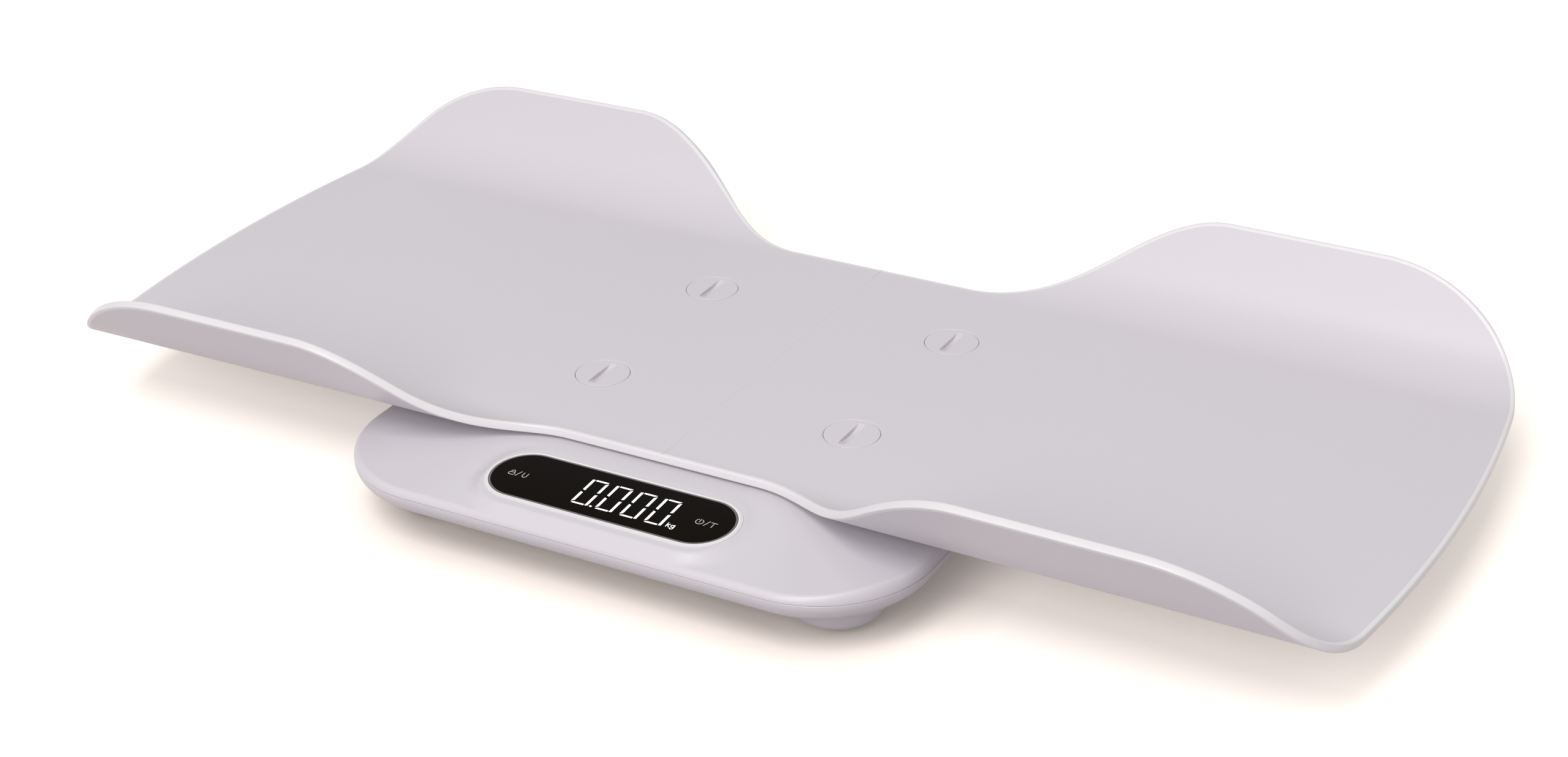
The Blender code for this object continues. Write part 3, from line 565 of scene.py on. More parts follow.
def on_sheet(side, along, reach, out_along=0.0, out_reach=0.0, depth=0.0):
    """A place on the sheet, then a step outwards in the sheet and a depth below its upper face.

    The crown lowers the sheet by the square of the way from the seam to the end.
    """
    cross, height, tilt = sheet_section(reach)
    crown = tray_crown * (along / tray_half_length) ** 2
    x = side * (along + out_along) + 0 * cross
    y = cross + out_reach * np.cos(tilt) + depth * np.sin(tilt)
    z = floor_height + height - crown + out_reach * np.sin(tilt) - depth * np.cos(tilt)
    return np.stack(np.broadcast_arrays(x, y, z), axis=-1)


def seam_rows(side):
    """Rows of the scarf seam: place along the half, and the depths where the sheet starts and ends there.

    The joint's face sinks through the sheet by a share q while it runs seam_run * (3q² - 2q³) to the right,
    and the upper face dips a little towards the seam on both halves.
    """
    if side > 0:
        q = np.linspace(0, 1, seam_face_steps)
        along = seam_run * q**2 * (3 - 2 * q)
        top = seam_dip * np.maximum(1 - along / seam_dip_run, 0) ** 2
        return seam_gap + along, top, np.maximum(q * tray_thickness, top + seam_gap)
    q = np.linspace(seam_tip_share, seam_dip / tray_thickness, seam_tip_steps)
    dip = np.linspace(0, 1, seam_dip_steps)[1:]
    along = np.concatenate([-seam_run * q**2 * (3 - 2 * q), seam_dip_run * dip])
    top = np.concatenate([q * tray_thickness, seam_dip * (1 - dip) ** 2])
    return along, top, np.full(len(along), tray_thickness)


def half_sheet(side):
    """The half's grid of (along, reach), with the depths of its two faces in each row.

    Rows follow the side edge from the seam to the middle of the round corner. Columns run across, and the
    rows bend gradually until the last one lies on the end edge. That edge is a shallow parabola, and the
    corner is a circle that meets it without a kink.
    """
    corner = lobe_corner_radius - rim_inset
    centre_reach = lobe_reach - rim_inset - corner
    lean = math.atan(2 * end_bulge / centre_reach)
    start_reach = centre_reach + corner * math.sin(lean)
    end = tray_half_length - rim_inset
    centre = end - end_bulge * (start_reach / centre_reach) ** 2 - corner * math.cos(lean)
    seam, top, bottom = seam_rows(side)
    level = np.linspace(seam[-1], rise_start, level_steps)[1:]
    rise = np.linspace(rise_start, rise_end, rise_steps)[1:]
    lobe = np.linspace(rise_end, centre, lobe_steps)[1:]
    turn = arc(corner_side_steps, math.pi / 2, math.pi / 4)[1:]
    side_along = np.concatenate([seam, level, rise, lobe])
    edge_along = np.concatenate([side_along, centre + corner * np.cos(turn)])
    edge = np.concatenate([edge_reach(side_along), centre_reach + corner * np.sin(turn)])
    fall = arc(corner_end_steps, math.pi / 4, lean)
    flat = start_reach * np.linspace(1, 0, end_steps)[1:]
    end_reach = np.concatenate([centre_reach + corner * np.sin(fall), flat])
    end_along = np.concatenate(
        [centre + corner * np.cos(fall), end - end_bulge * (flat / centre_reach) ** 2]
    )
    follow = np.clip((edge_along - seam_level) / (edge_along[-1] - seam_level), 0, 1)
    along = edge_along[:, None] + follow[:, None] * (end_along - end_along[0])[None, :]
    share = end_reach / end_reach[0]
    if side > 0:
        fade = np.clip(1 - edge_along / seam_level, 0, 1)[:, None]
        along = along + fade * (seam_rim_gap - seam_gap) * share[None, :] ** seam_gap_power
    reach = edge[:, None] * share[None, :]
    along = np.concatenate([along, along[:, -2::-1]], axis=1)
    reach = np.concatenate([reach, -reach[:, -2::-1]], axis=1)
    rest = len(edge_along) - len(seam)
    top = np.concatenate([top, np.zeros(rest)])
    bottom = np.concatenate([bottom, np.full(rest, tray_thickness)])
    return along, reach, top, bottom


def rim_profile():
    """Outward step and depth round the rim: a quarter circle, an upright face and a quarter circle."""
    turn = arc(round_steps)
    out = [0.0, *(rim_inset - rim_top_round * (1 - np.sin(turn)))]
    depth = [0.0, *(rim_top_round * (1 - np.cos(turn)))]
    turn = arc(round_steps - 1)
    out += [*(rim_inset - rim_foot_round * (1 - np.cos(turn))), 0.0]
    depth += [*(tray_thickness - rim_foot_round * (1 - np.sin(turn))), tray_thickness]
    return np.array(out), np.array(depth)


def sheet_rim(side, along, reach, top, bottom):
    """The rim's profile carried round the half's open edge, and the thin end face at the seam.

    The outward direction at a corner of the edge is square to the mean of its two steps.
    """
    rows, columns = along.shape
    across = np.arange(1, columns - 1)
    i = np.concatenate([np.arange(rows), np.full(columns - 2, rows - 1), np.arange(rows)[::-1]])
    j = np.concatenate([np.zeros(rows, int), across, np.full(rows, columns - 1)])
    line = np.column_stack([along[i, j], reach[i, j]])
    step = unit(np.diff(line, axis=0))
    step = unit(np.concatenate([step[:1], step[1:] + step[:-1], step[-1:]]))
    out, depth = rim_profile()
    low = np.clip(depth[:, None], top[i][None, :], bottom[i][None, :])
    out_along = -out[:, None] * step[:, 1]
    out_reach = out[:, None] * step[:, 0]
    rim = on_sheet(side, line[:, 0], line[:, 1], out_along, out_reach, low)
    middle = len(out) // 2
    upper = on_sheet(side, along[0], reach[0], depth=top[0])
    lower = on_sheet(side, along[0], reach[0], depth=bottom[0])
    first = rim[:, 0]
    last = rim[:, -1]
    over = np.concatenate([first[middle::-1], upper, last[: middle + 1]])
    under = np.concatenate([first[middle:], lower, last[middle:][::-1]])
    return rim, np.stack([over, under])


def make_tray(side, finishes):
    """One half: both faces with two knob holes, the rim, the scarf's end and the knob cups."""
    name = "tray_right" if side > 0 else "tray_left"
    along, reach, top, bottom = half_sheet(side)
    upper = on_sheet(side, along, reach, depth=top[:, None])
    lower = on_sheet(side, along, reach, depth=bottom[:, None])
    plan = np.stack([along, reach], axis=-1)
    keep = all_cells(plan)
    grids = []
    for sign in (1, -1):
        centre = (knob_spacing_x, sign * knob_spacing_y)
        block = hole_block(plan, centre, (0, 0), cup_outer + cup_fillet + shell_wall)
        open_block(keep, block)
        grids += knob_cup(side, plan, block, centre)
    rim, end = sheet_rim(side, along, reach, top, bottom)
    # The rim takes finish number 1, the lighter plastic that paints its highlight
    grids += [(upper, keep, 0), (lower, keep, 0), whole(rim, 1), whole(end)]
    return piece(name, grids, finishes, name, [name])


def knob_cup(side, plan, block, centre):
    """The sheet round a knob's hole, its small edge round, and the cup that holds the knob below."""
    core = (0, 0)
    mouth = knob_hole_radius + hole_edge_round
    foot = cup_outer + cup_fillet
    over = hole_plan(plan, block, centre, core, mouth, round_steps)
    under = hole_plan(plan, block, centre, core, foot, round_steps)
    top_rings = on_sheet(side, over[..., 0], over[..., 1])
    low_rings = on_sheet(side, under[..., 0], under[..., 1], depth=tray_thickness)
    surface = float(top_rings[-1, :, 2].mean())
    below = surface - tray_thickness
    turns = arc(round_steps)
    wall = shank_radius + shank_gap
    profile = quarter_round(mouth, surface, -hole_edge_round, hole_edge_round, turns[1:])
    profile += [(knob_hole_radius, cup_floor_top), (wall, cup_floor_top), (wall, cup_floor_bottom)]
    profile += [(knob_hole_radius, cup_floor_bottom), (knob_hole_radius, cup_foot), (cup_outer, cup_foot)]
    profile += quarter_round(foot, below, -cup_fillet, cup_fillet, turns[:0:-1])
    rings = collar(over[-1], centre, core, profile)
    rings[..., 0] *= side
    cup = np.concatenate([top_rings[-1:], rings, low_rings[-1:]])
    return [whole(top_rings), whole(low_rings), whole(cup)]


# Knobs

def level_ring(radius, height, turn):
    """A level ring about the axis, whose radius may change with the turn."""
    return np.stack([radius * np.cos(turn), radius * np.sin(turn), height + 0 * turn], axis=-1)


def lug_outline(turn, gap):
    """Distance from the axis to the lug's edge, or to the shank's where that is further, plus a gap."""
    flat = (lug_half_width + gap) / np.maximum(np.abs(np.cos(turn)), weld_distance)
    end = (lug_half_length + gap) / np.maximum(np.abs(np.sin(turn)), weld_distance)
    return np.maximum(np.minimum(flat, end), shank_radius + gap)


def make_knob(place, x, y, finish):
    """A knob: a coin slot, the flush face, an edge round, the head, the grooved shank and the cross lug.

    The slot is an oblong with soft corners, half width and half length times a squared wave. Its floor is a
    parabola along Y, slot_depth * (1 - (y / half length)²) deep, between steep walls. Beyond the slot the
    rings pass evenly to the head's circle.
    """
    turn = arc(turn_steps, 0, 2 * math.pi)
    across, along = squared_wave(turn, slot_corner_power)
    floor = head_top - slot_depth * (1 - along**2)
    lip = np.maximum(floor, head_top - slot_edge_round)
    along = along * slot_half_length
    widths = [slot_floor_half_width * share for share in slot_ring_shares]
    rings = [np.stack([across * width, along, floor], axis=-1) for width in widths]
    rings.append(np.stack([across * (slot_half_width - slot_edge_round), along, lip], axis=-1))
    mouth = np.stack([across * slot_half_width, along, head_top + 0 * along], axis=-1)
    face = knob_radius - knob_edge_round
    rim = level_ring(face, head_top, turn)
    rings += [mouth + (rim - mouth) * share for share in np.linspace(0, 1, knob_face_steps)]
    groove = shank_radius - groove_depth
    clip_top = clip_bottom + clip_thickness
    profile = quarter_round(face, head_top, knob_edge_round, knob_edge_round, arc(round_steps)[1:])
    profile += [(knob_radius, head_bottom), (shank_radius, head_bottom)]
    profile += [(shank_radius, clip_top + seat_gap), (groove, clip_top + seat_gap)]
    profile += [(groove, clip_bottom - seat_gap), (shank_radius, clip_bottom - seat_gap)]
    edge = lug_outline(turn, 0)
    profile += [(shank_radius, lug_top), (edge, lug_top), (edge, lug_top - lug_thickness)]
    profile.append((0, lug_top - lug_thickness))
    rings += [level_ring(radius, height, turn) for radius, height in profile]
    name = "knob_" + place
    return piece(name, [whole(np.stack(rings) + np.array([x, y, 0.0]))], [finish], name, [name])


# Base shells

def soft_rise(value, softness):
    """The positive part of a value, with a parabola of the given softness round zero."""
    near = np.clip((value + softness) / (2 * softness), 0, 1)
    return np.where(value > softness, value, softness * near**2)


def deck_level(plan, plateau):
    """Height of the deck: level under the tray, with soft falls to the front, the sides and the back.

    The deepest of the straight falls counts, with a parabola across the ridge where two of them meet.
    """
    x = np.abs(plan[..., 0] - base_offset_x)
    y = plan[..., 1]
    front = front_fall * soft_rise(-y - front_fall_start, fall_softness)
    side = side_fall * soft_rise(x - side_fall_start, fall_softness)
    back = side_fall * soft_rise(y - base_back + back_fall_margin, fall_softness)
    fall = np.maximum(np.maximum(front, side), back)
    gap = np.abs(front - np.maximum(side, back))
    fall = fall + np.maximum(ridge_softness - gap, 0) ** 2 / (4 * ridge_softness)
    return island_level(plan, plateau - fall, plateau - deck_height)


def island_level(plan, ground, lift):
    """The deck with the flat island that carries the window.

    The island's own plane passes to the ground as the share still to go, raised to a power. Its front
    flank is short and nearly straight, and the others are long and hollow.
    """
    step = from_core(plan, window_centre, (window_half_length - window_radius, island_reach))
    away = np.maximum(np.linalg.norm(step, axis=-1), weld_distance)
    front = np.clip(-step[..., 1] / away, 0, 1) ** 2
    run = island_run + (island_front_run - island_run) * front
    power = island_power + (island_front_power - island_power) * front
    share = np.clip(soft_rise(away - window_radius - rim_width, island_edge_softness) / run, 0, 1)
    top = window_level + lift + window_fall * (plan[..., 1] - window_y)
    return ground + np.maximum(top - ground, 0) * (1 - share) ** power


def base_ring(inset):
    """The base's rounded outline, drawn in by an inset: straight sides and quarter circles.

    It starts and ends on the right, clear of all holes.
    """
    core = base_half - base_corner_radius
    radius = base_corner_radius - inset
    points = []
    for quarter, signs in enumerate(((1, 1), (-1, 1), (-1, -1), (1, -1))):
        angle = arc(corner_steps) + quarter * math.pi / 2
        points.append(signs * core + radius * np.column_stack([np.cos(angle), np.sin(angle)]))
    start = np.array([core[0] + radius, loop_start])
    line = [start]
    for corner in [*points, start[None]]:
        count = round(float(np.linalg.norm(corner[0] - line[-1])) / side_step)
        line += list(line[-1] + (corner[0] - line[-1]) * np.linspace(0, 1, count + 1)[1:, None])
        line += list(corner[1:])
    return np.array(line) + base_centre


def inset_of(plan):
    """How far a plan point lies inside the base's outline."""
    core = base_half - base_corner_radius
    return base_corner_radius - np.linalg.norm(from_core(plan, base_centre, core), axis=-1)


def belly_level(plan, wall=0.0):
    """Height of the underside: a quarter ellipse from the parting edge in to the flat floor.

    The inner face is the same, a wall's thickness further in and up.
    """
    share = np.clip(1 - (inset_of(plan) - wall) / (belly_run - wall), 0, 1)
    start = parting_height - parting_gap / 2
    return start + (base_bottom + wall - start) * np.sqrt(1 - share**2)


def lip_grid(inset, run, start, plateau, steps):
    """Rings over the deck's rounded lip: a quarter ellipse from the parting edge to the deck."""
    rings = []
    for turn in arc(steps):
        ring = base_ring(inset + (run - inset) * (1 - math.cos(turn)))
        end = deck_level(ring, plateau)
        rings.append(with_level(ring, start + (end - start) * math.sin(turn)))
    return np.stack(rings)


def make_upper_shell(finish):
    """The deck with its lip, four knob pockets with keyholes, and the window's opening.

    Outer and inner faces are rings of the outline, drawn in over the lip and then scaled down to the middle.
    """
    start = parting_height + parting_gap / 2
    edge = base_ring(parting_round)
    under = deck_height - shell_wall
    outer_lip = lip_grid(0.0, lip_run, start + parting_round, deck_height, lip_steps)
    outer_lip = np.concatenate([with_level(edge, start)[None], outer_lip])
    inner_lip = lip_grid(shell_wall, inner_lip_run, start, under, inner_lip_steps)
    share = 1 - np.linspace(0, 1, deck_steps)[1:, None, None] ** ring_power
    middle = base_centre + (outer_lip[-1, :, :2] - base_centre) * share
    outer = np.concatenate([outer_lip, with_level(middle, deck_level(middle, deck_height))])
    inner = np.concatenate([inner_lip, with_level(middle, deck_level(middle, under))])
    outer_keep = all_cells(outer)
    inner_keep = all_cells(inner)
    shift = len(outer_lip) - len(inner_lip)
    grids = [whole(np.stack([inner[0], outer[0]]))]
    reach = pocket_radius + shell_wall + 2 * rim_width
    holes = [(place, (0, 0), pocket_radius, reach) for place in knob_places.values()]
    core = (window_half_length - window_radius, 0)
    holes.append((window_centre, core, window_radius + rim_neck + seat_gap, window_hole_reach))
    for centre, core, radius, reach in holes:
        block = hole_block(outer[..., :2], centre, core, reach)
        open_block(outer_keep, block)
        inside = (block[0] - shift, block[1] - shift, block[2], block[3])
        open_block(inner_keep, inside)
        wall = shell_wall if core[0] == 0 else 0
        over = hole_plan(outer[..., :2], block, centre, core, radius, hole_steps)
        below = hole_plan(inner[..., :2], inside, centre, core, radius + wall, hole_steps)
        top = with_level(over, deck_level(over, deck_height))
        low = with_level(below, deck_level(below, under))
        edges = pocket(over[-1], centre, top[-1], low[-1]) if wall else np.stack([top[-1], low[-1]])
        grids += [whole(top), whole(low), whole(edges)]
    grids += [(outer, outer_keep, 0), (inner, inner_keep, 0)]
    return piece("upper_shell", grids, [finish], "base", ["upper_shell"])


def pocket(hole, centre, top, low):
    """A knob's pocket: its wall, the floor in to the keyhole, and the way back up outside."""
    step = from_core(hole, centre, (0, 0))
    turn = np.arctan2(step[:, 1], step[:, 0])
    edge = lug_outline(turn, keyhole_gap)
    keyhole = [level_ring(edge, height, turn) for height in (pocket_floor_top, pocket_floor_bottom)]
    keyhole = np.stack(keyhole) + np.array([*centre, 0.0])
    wall = collar(hole, centre, (0, 0), [(pocket_radius, pocket_floor_top)])
    outside = collar(hole, centre, (0, 0), [(pocket_radius + shell_wall, pocket_floor_bottom)])
    return np.concatenate([top[None], wall, keyhole, outside, low[None]])


def make_lower_shell(finish):
    """The belly with its battery bay and screw wells, outside and inside.

    Rings of the outline go down the quarter ellipse, then pass evenly to the bay's edge.
    """
    bay = (base_offset_x, bay_y)
    half = np.array([bay_half_x, bay_half_y])
    start = parting_height - parting_gap / 2
    outer = belly_plan(0.0, bay, half + cover_margin, belly_steps)
    inner = belly_plan(shell_wall, bay, half + shell_wall, inner_belly_steps)
    outer = with_level(outer, belly_level(outer))
    inner = with_level(inner, belly_level(inner, shell_wall))
    outer[0, :, 2] = start - parting_round
    outer = np.concatenate([with_level(base_ring(parting_round), start)[None], outer])
    outer_keep = all_cells(outer)
    inner_keep = all_cells(inner)
    grids = [whole(np.stack([inner[0], outer[0]]))]
    low = screw_seat - well_floor
    outer_well = [(well_radius, low), (screw_hole, low), (screw_hole, screw_seat)]
    inner_well = [(well_radius + well_wall, screw_seat)]
    sides = ((outer, outer_keep, 0.0, outer_well), (inner, inner_keep, shell_wall, inner_well))
    for centre in screw_places:
        for face, keep, wall, profile in sides:
            radius = profile[0][0]
            block = hole_block(face[..., :2], centre, (0, 0), radius + rim_width)
            open_block(keep, block)
            plan = hole_plan(face[..., :2], block, centre, (0, 0), radius, well_steps)
            rings = with_level(plan, belly_level(plan, wall))
            well = collar(plan[-1], centre, (0, 0), profile)
            well = np.concatenate([rings[-1:], well, hub(plan[-1], centre, screw_seat)])
            grids += [whole(rings), whole(well)]
    seat = base_bottom + cover_seat_depth
    profile = [(half + cover_margin, seat), (half, seat), (half, bay_roof)]
    grids.append(whole(bay_walls(outer[-1], bay, profile)))
    grids.append(whole(bay_walls(inner[-1], bay, [(half + shell_wall, bay_roof + well_wall)])))
    grids += [(outer, outer_keep, 0), (inner, inner_keep, 0)]
    return piece("lower_shell", grids, [finish], "base", ["lower_shell"])


def bay_walls(rim, bay, profile):
    """The battery bay's steps: boxes of the given half sizes and heights, closed at the last height."""
    line = rim[:, :2]
    walls = [rim] + [with_level(box_ring(line, bay, size), height) for size, height in profile]
    return np.concatenate([walls, hub(line, bay, profile[-1][1])])


def hub(line, centre, height):
    """A ring that has shrunk to one point over a centre."""
    return np.tile(np.array([*centre, height]), (len(line), 1))[None]


def box_ring(line, centre, half):
    """A ring's points moved in to a box with small round corners."""
    return at_radius(line, centre, np.asarray(half) - rim_neck, rim_neck)


def belly_plan(inset, bay, half, curve_steps):
    """Plan rings of the underside: drawn in over the belly's curve, then on to the bay's edge."""
    run = belly_run - inset
    rings = [base_ring(inset + run * (1 - math.cos(turn))) for turn in arc(curve_steps)]
    last = rings[-1]
    goal = box_ring(last, bay, half)
    rings += [last + (goal - last) * share for share in np.linspace(0, 1, flat_steps)[1:]]
    return np.stack(rings)


# Feet

def foot_level(radius):
    """Height of the foot's dome: a quarter ellipse from the flat out to the belly, then straight on."""
    span = foot_radius - foot_flat_radius
    share = np.clip((radius - foot_flat_radius) / span, 0, 1)
    near = np.minimum(share, foot_steep_share)
    height = base_bottom - foot_low
    level = base_bottom - height * np.sqrt(1 - near**2)
    slope = height * foot_steep_share / math.sqrt(1 - foot_steep_share**2) / span
    return level + slope * np.maximum(radius - foot_flat_radius - foot_steep_share * span, 0)


def make_foot(place, x, y, finish):
    """A foot that flows into the belly: the lower of the dome and the belly, with a fillet between them."""
    turn = arc(turn_steps, 0, 2 * math.pi)
    centre = np.array([x, y])
    direction = np.column_stack([np.cos(turn), np.sin(turn)])
    radii = np.linspace(foot_flat_radius, foot_skirt, foot_steps)[:, None]
    plan = centre + direction * radii[..., None]
    belly = belly_level(plan) - foot_lap
    dome = foot_level(np.broadcast_to(radii, belly.shape))
    fillet = np.maximum(foot_blend - np.abs(belly - dome), 0) ** 2 / (4 * foot_blend)
    outer = with_level(plan, np.minimum(belly, dome) - fillet)
    seat = [(0, pad_seat_height), (pad_seat_radius, pad_seat_height), (pad_seat_radius, foot_low)]
    bottom = np.stack([with_level(centre + direction * radius, height) for radius, height in seat])
    back = centre + direction * np.linspace(foot_skirt, 0, foot_back_steps)[:, None, None]
    inner = with_level(back, belly_level(back))
    name = "foot_cup_" + place
    grid = np.concatenate([bottom, outer, inner])
    return piece(name, [whole(grid)], [finish], "base", [name])


# Display window

def in_window(points):
    """Points given along the window, up its slope and out of it, turned by its tilt and set in place."""
    u, w, out = np.moveaxis(np.asarray(points, float), -1, 0)
    out = out + window_rise
    x = window_x + u
    y = window_y + w * math.cos(window_tilt) - out * math.sin(window_tilt)
    z = window_level + w * math.sin(window_tilt) + out * math.cos(window_tilt)
    return np.stack([x, y, z], axis=-1)


def pill(profile):
    """A profile of (radius, height) carried round the window's core line: half a turn at each of its ends."""
    right = arc(pill_steps, -math.pi / 2, math.pi / 2)
    turn = np.concatenate([right, right + math.pi, right[:1]])
    core = np.repeat([1, -1, 1], [pill_steps, pill_steps, 1]) * (window_half_length - window_radius)
    along = core[:, None] * [1, 0, 0]
    return in_window([level_ring(radius, height, turn) + along for radius, height in profile])


def make_window(rim_finishes, edge_finish, lens_finish):
    """The raised rim, and the lens: its black face and the clear bevelled border round it."""
    r = window_radius
    outer = r + rim_width
    flank = rim_width - rim_flat
    soft = rim_edge_round
    skirt = [(r + rim_neck, -rim_depth), (r + rim_neck, -rim_stand), (outer, -rim_stand)]
    for share in np.linspace(0, 1, flank_steps):
        height = rim_foot + (rim_stand - rim_foot) * (1 - math.cos(math.pi * share)) / 2
        skirt.append((outer - flank * share, height))
    profile = [skirt[-1], *quarter_round(r + soft, rim_stand, -soft, soft, arc(round_steps - 1))]
    profile += [(r, -rim_depth), (r + rim_neck, -rim_depth)]
    grids = [whole(pill(profile)), whole(pill(skirt), 1)]
    piece("display_bezel", grids, rim_finishes, "base", ["display_bezel"])
    edge = r - lens_gap
    black = edge - lens_border
    low = lens_level - lens_thickness
    border = [(black, lens_level), (edge - lens_chip, lens_level - lens_fall)]
    border += [(edge, lens_level - lens_fall - lens_chip), (edge, low)]
    face = [(0, lens_level), (black, lens_level)]
    back = [(edge, low), (0, low)]
    grids = [whole(pill(face)), whole(pill(border), 1), whole(pill(back))]
    piece("display_lens", grids, [lens_finish, edge_finish], "base", ["display_lens"])


# Numbers and key symbols on the lens

def plate(left, right):
    """A thin flat solid on the lens between two lines of points, closed at both ends."""
    left = np.asarray(left, float)
    right = np.asarray(right, float)
    first = (left[:1] + right[:1]) / 2
    last = (left[-1:] + right[-1:]) / 2
    left = np.concatenate([first, left, last])
    right = np.concatenate([first, right, last])
    high = np.full((len(left), 1), lens_level + ink_height)
    low = high - 2 * ink_height
    corners = [(left, high), (right, high), (right, low), (left, low), (left, high)]
    return whole(in_window(np.stack([np.concatenate(corner, axis=1) for corner in corners], axis=1)))


def bar(start, end, width, cuts):
    """A straight lit bar. Cuts draw its corners back: left and right at its start, then at its end."""
    start = np.asarray(start, float)
    end = np.asarray(end, float)
    along = unit(end - start)
    across = np.array([-along[1], along[0]]) * width / 2
    left = [start + across + along * cuts[0], end + across - along * cuts[2]]
    right = [start - across + along * cuts[1], end - across - along * cuts[3]]
    return plate(left, right)


def pen(line, width):
    """A stroke of even width with round ends, whose sides lie square to its middle line."""
    line = np.asarray(line, float)
    along = unit(np.gradient(line, axis=0))
    turn = arc(round_steps - 1)[:-1][:, None]
    back = turn[::-1]
    radius = width / 2
    start = line[0] - along[0] * radius * np.cos(turn)
    end = line[-1] + along[-1] * radius * np.cos(back)
    middle = np.concatenate([start, line, end])
    count = len(turn)
    way = np.concatenate([np.repeat(along[:1], count, axis=0), along, np.repeat(along[-1:], count, axis=0)])
    half = np.concatenate([np.sin(turn), np.ones((len(line), 1)), np.sin(back)]) * radius
    across = np.column_stack([-way[:, 1], way[:, 0]]) * half
    return plate(middle + across, middle - across)


def nought(left):
    """The six lit bars of a nought: mitred at the upper right and lower left, and apart elsewhere."""
    right = left + digit_width - bar_inset
    left = left + bar_inset
    u = upright_width
    v = level_width
    g = bar_gap
    middle = (digit_top + digit_bottom) / 2
    x0 = left + u / 2
    x1 = right - u / 2
    y0 = digit_bottom + v / 2
    y1 = digit_top - v / 2
    upper = middle + middle_gap / 2
    lower = middle - middle_gap / 2
    level_cuts = (bar_inset, 0, g, v + g)
    return [
        bar((x0, upper), (x0, digit_top - bar_inset), u, (g, 0, g, bar_inset)),
        bar((x1, upper), (x1, digit_top), u, (0, g, v + u, v / 2 + g)),
        bar((x0, lower), (x0, digit_bottom), u, (g, 0, v + u, v / 2 + g)),
        bar((x1, lower), (x1, digit_bottom + bar_inset), u, (0, g, g, bar_inset)),
        bar((left + u + corner_gap, y1), (right, y1), v, level_cuts),
        bar((right - u - corner_gap, y0), (left, y0), v, level_cuts),
    ]


def ring(centre, half_x, half_y, start, end, count):
    """Points on an oval: half widths times the cosine and sine of a turn, about a centre."""
    turn = np.linspace(start, end, count)
    return np.column_stack([centre[0] + half_x * np.cos(turn), centre[1] + half_y * np.sin(turn)])


def arch(centre, radius, start, end, foot, count):
    """Half a circle with a straight leg at each end that stops at the foot's height."""
    bow = ring(centre, radius, radius, start, end, count)
    return np.concatenate([[(bow[0, 0], foot)], bow, [(bow[-1, 0], foot)]])


def make_numbers(finish):
    """Four noughts, the point after the first, and the unit."""
    bars = []
    for i in range(digit_count):
        bars += nought(first_digit + i * digit_pitch)
    x, y = point_place
    run = point_radius / 3
    bars.append(pen([(x - run, y), (x + run, y)], 2 * point_radius))
    bars += [pen(line, letter_pen) for line in unit_letters()]
    return piece("lit_numbers", bars, [finish], "base")


def unit_letters():
    """Lines of a small k and g: straight strokes, an oval bowl, and a tail that ends in half an oval."""
    foot = np.array(letter_place)
    size = np.array([letter_width, letter_height])
    lines = [foot + np.array(stroke) * size for stroke in k_stroke_shares]
    bowl_half = g_bowl_half_shares * size
    lines.append(ring(foot + g_bowl_place_shares * size, *bowl_half, 0, 2 * math.pi, bowl_steps))
    tail_half = g_tail_half_shares * size
    tail = ring(foot + g_tail_place_shares * size, *tail_half, 0, -math.pi, tail_steps)[1:]
    lines.append(np.concatenate([foot + g_stem_shares * size, tail]))
    return lines


def make_symbols(finish):
    """Grey key symbols: a padlock and U on the left, the power sign and T on the right."""
    x, y = power_place
    start = math.pi / 2 + power_gap
    end = math.pi * 5 / 2 - power_gap
    lines = [ring(power_place, power_radius, power_radius, start, end, power_steps)]
    lines.append([(x, y - power_radius * power_stroke_share), (x, y + power_radius)])
    lines += [[(x, y), (x + slash_run, y + slash_rise)] for x, y in slash_places]
    x, y = tare_place
    top = y + tare_height
    lines += [[(x - tare_width / 2, top), (x + tare_width / 2, top)], [(x, top), (x, y)]]
    x, y = lock_place
    across, along = squared_wave(arc(lock_steps, 0, 2 * math.pi), lock_corner_power)
    lines.append(np.column_stack([x + lock_half_width * across, y + lock_half_height * along]))
    foot = y + lock_half_height
    lines.append(arch((x, y + shackle_level), shackle_radius, math.pi, 0, foot, shackle_steps))
    x, y = unit_place
    top = y + unit_height
    lines.append(arch((x, y + unit_radius), unit_radius, math.pi, 2 * math.pi, top, unit_steps))
    return piece("key_symbols", [pen(line, symbol_pen) for line in lines], [finish], "base")


# Finishes

def fill(tree, made, inputs):
    """Links each named input of a node to a socket, or sets it to a value."""
    for name, value in inputs.items():
        if isinstance(value, bpy.types.NodeSocket):
            tree.links.new(value, made.inputs[name])
        else:
            made.inputs[name].default_value = value
    return made


def node(tree, kind, inputs, **settings):
    """A new shader node: its settings first, then its inputs."""
    made = tree.nodes.new("ShaderNode" + kind)
    for name, value in settings.items():
        setattr(made, name, value)
    return fill(tree, made, inputs)


def new_finish(name):
    """A new material and its node tree."""
    made = bpy.data.materials.new(name)
    made.use_nodes = True
    return made, made.node_tree


def noise(tree, place, scale, detail):
    """A smooth noise between 0 and 1 over the object."""
    return node(tree, "TexNoise", {"Vector": place, "Scale": scale, "Detail": detail}).outputs["Fac"]


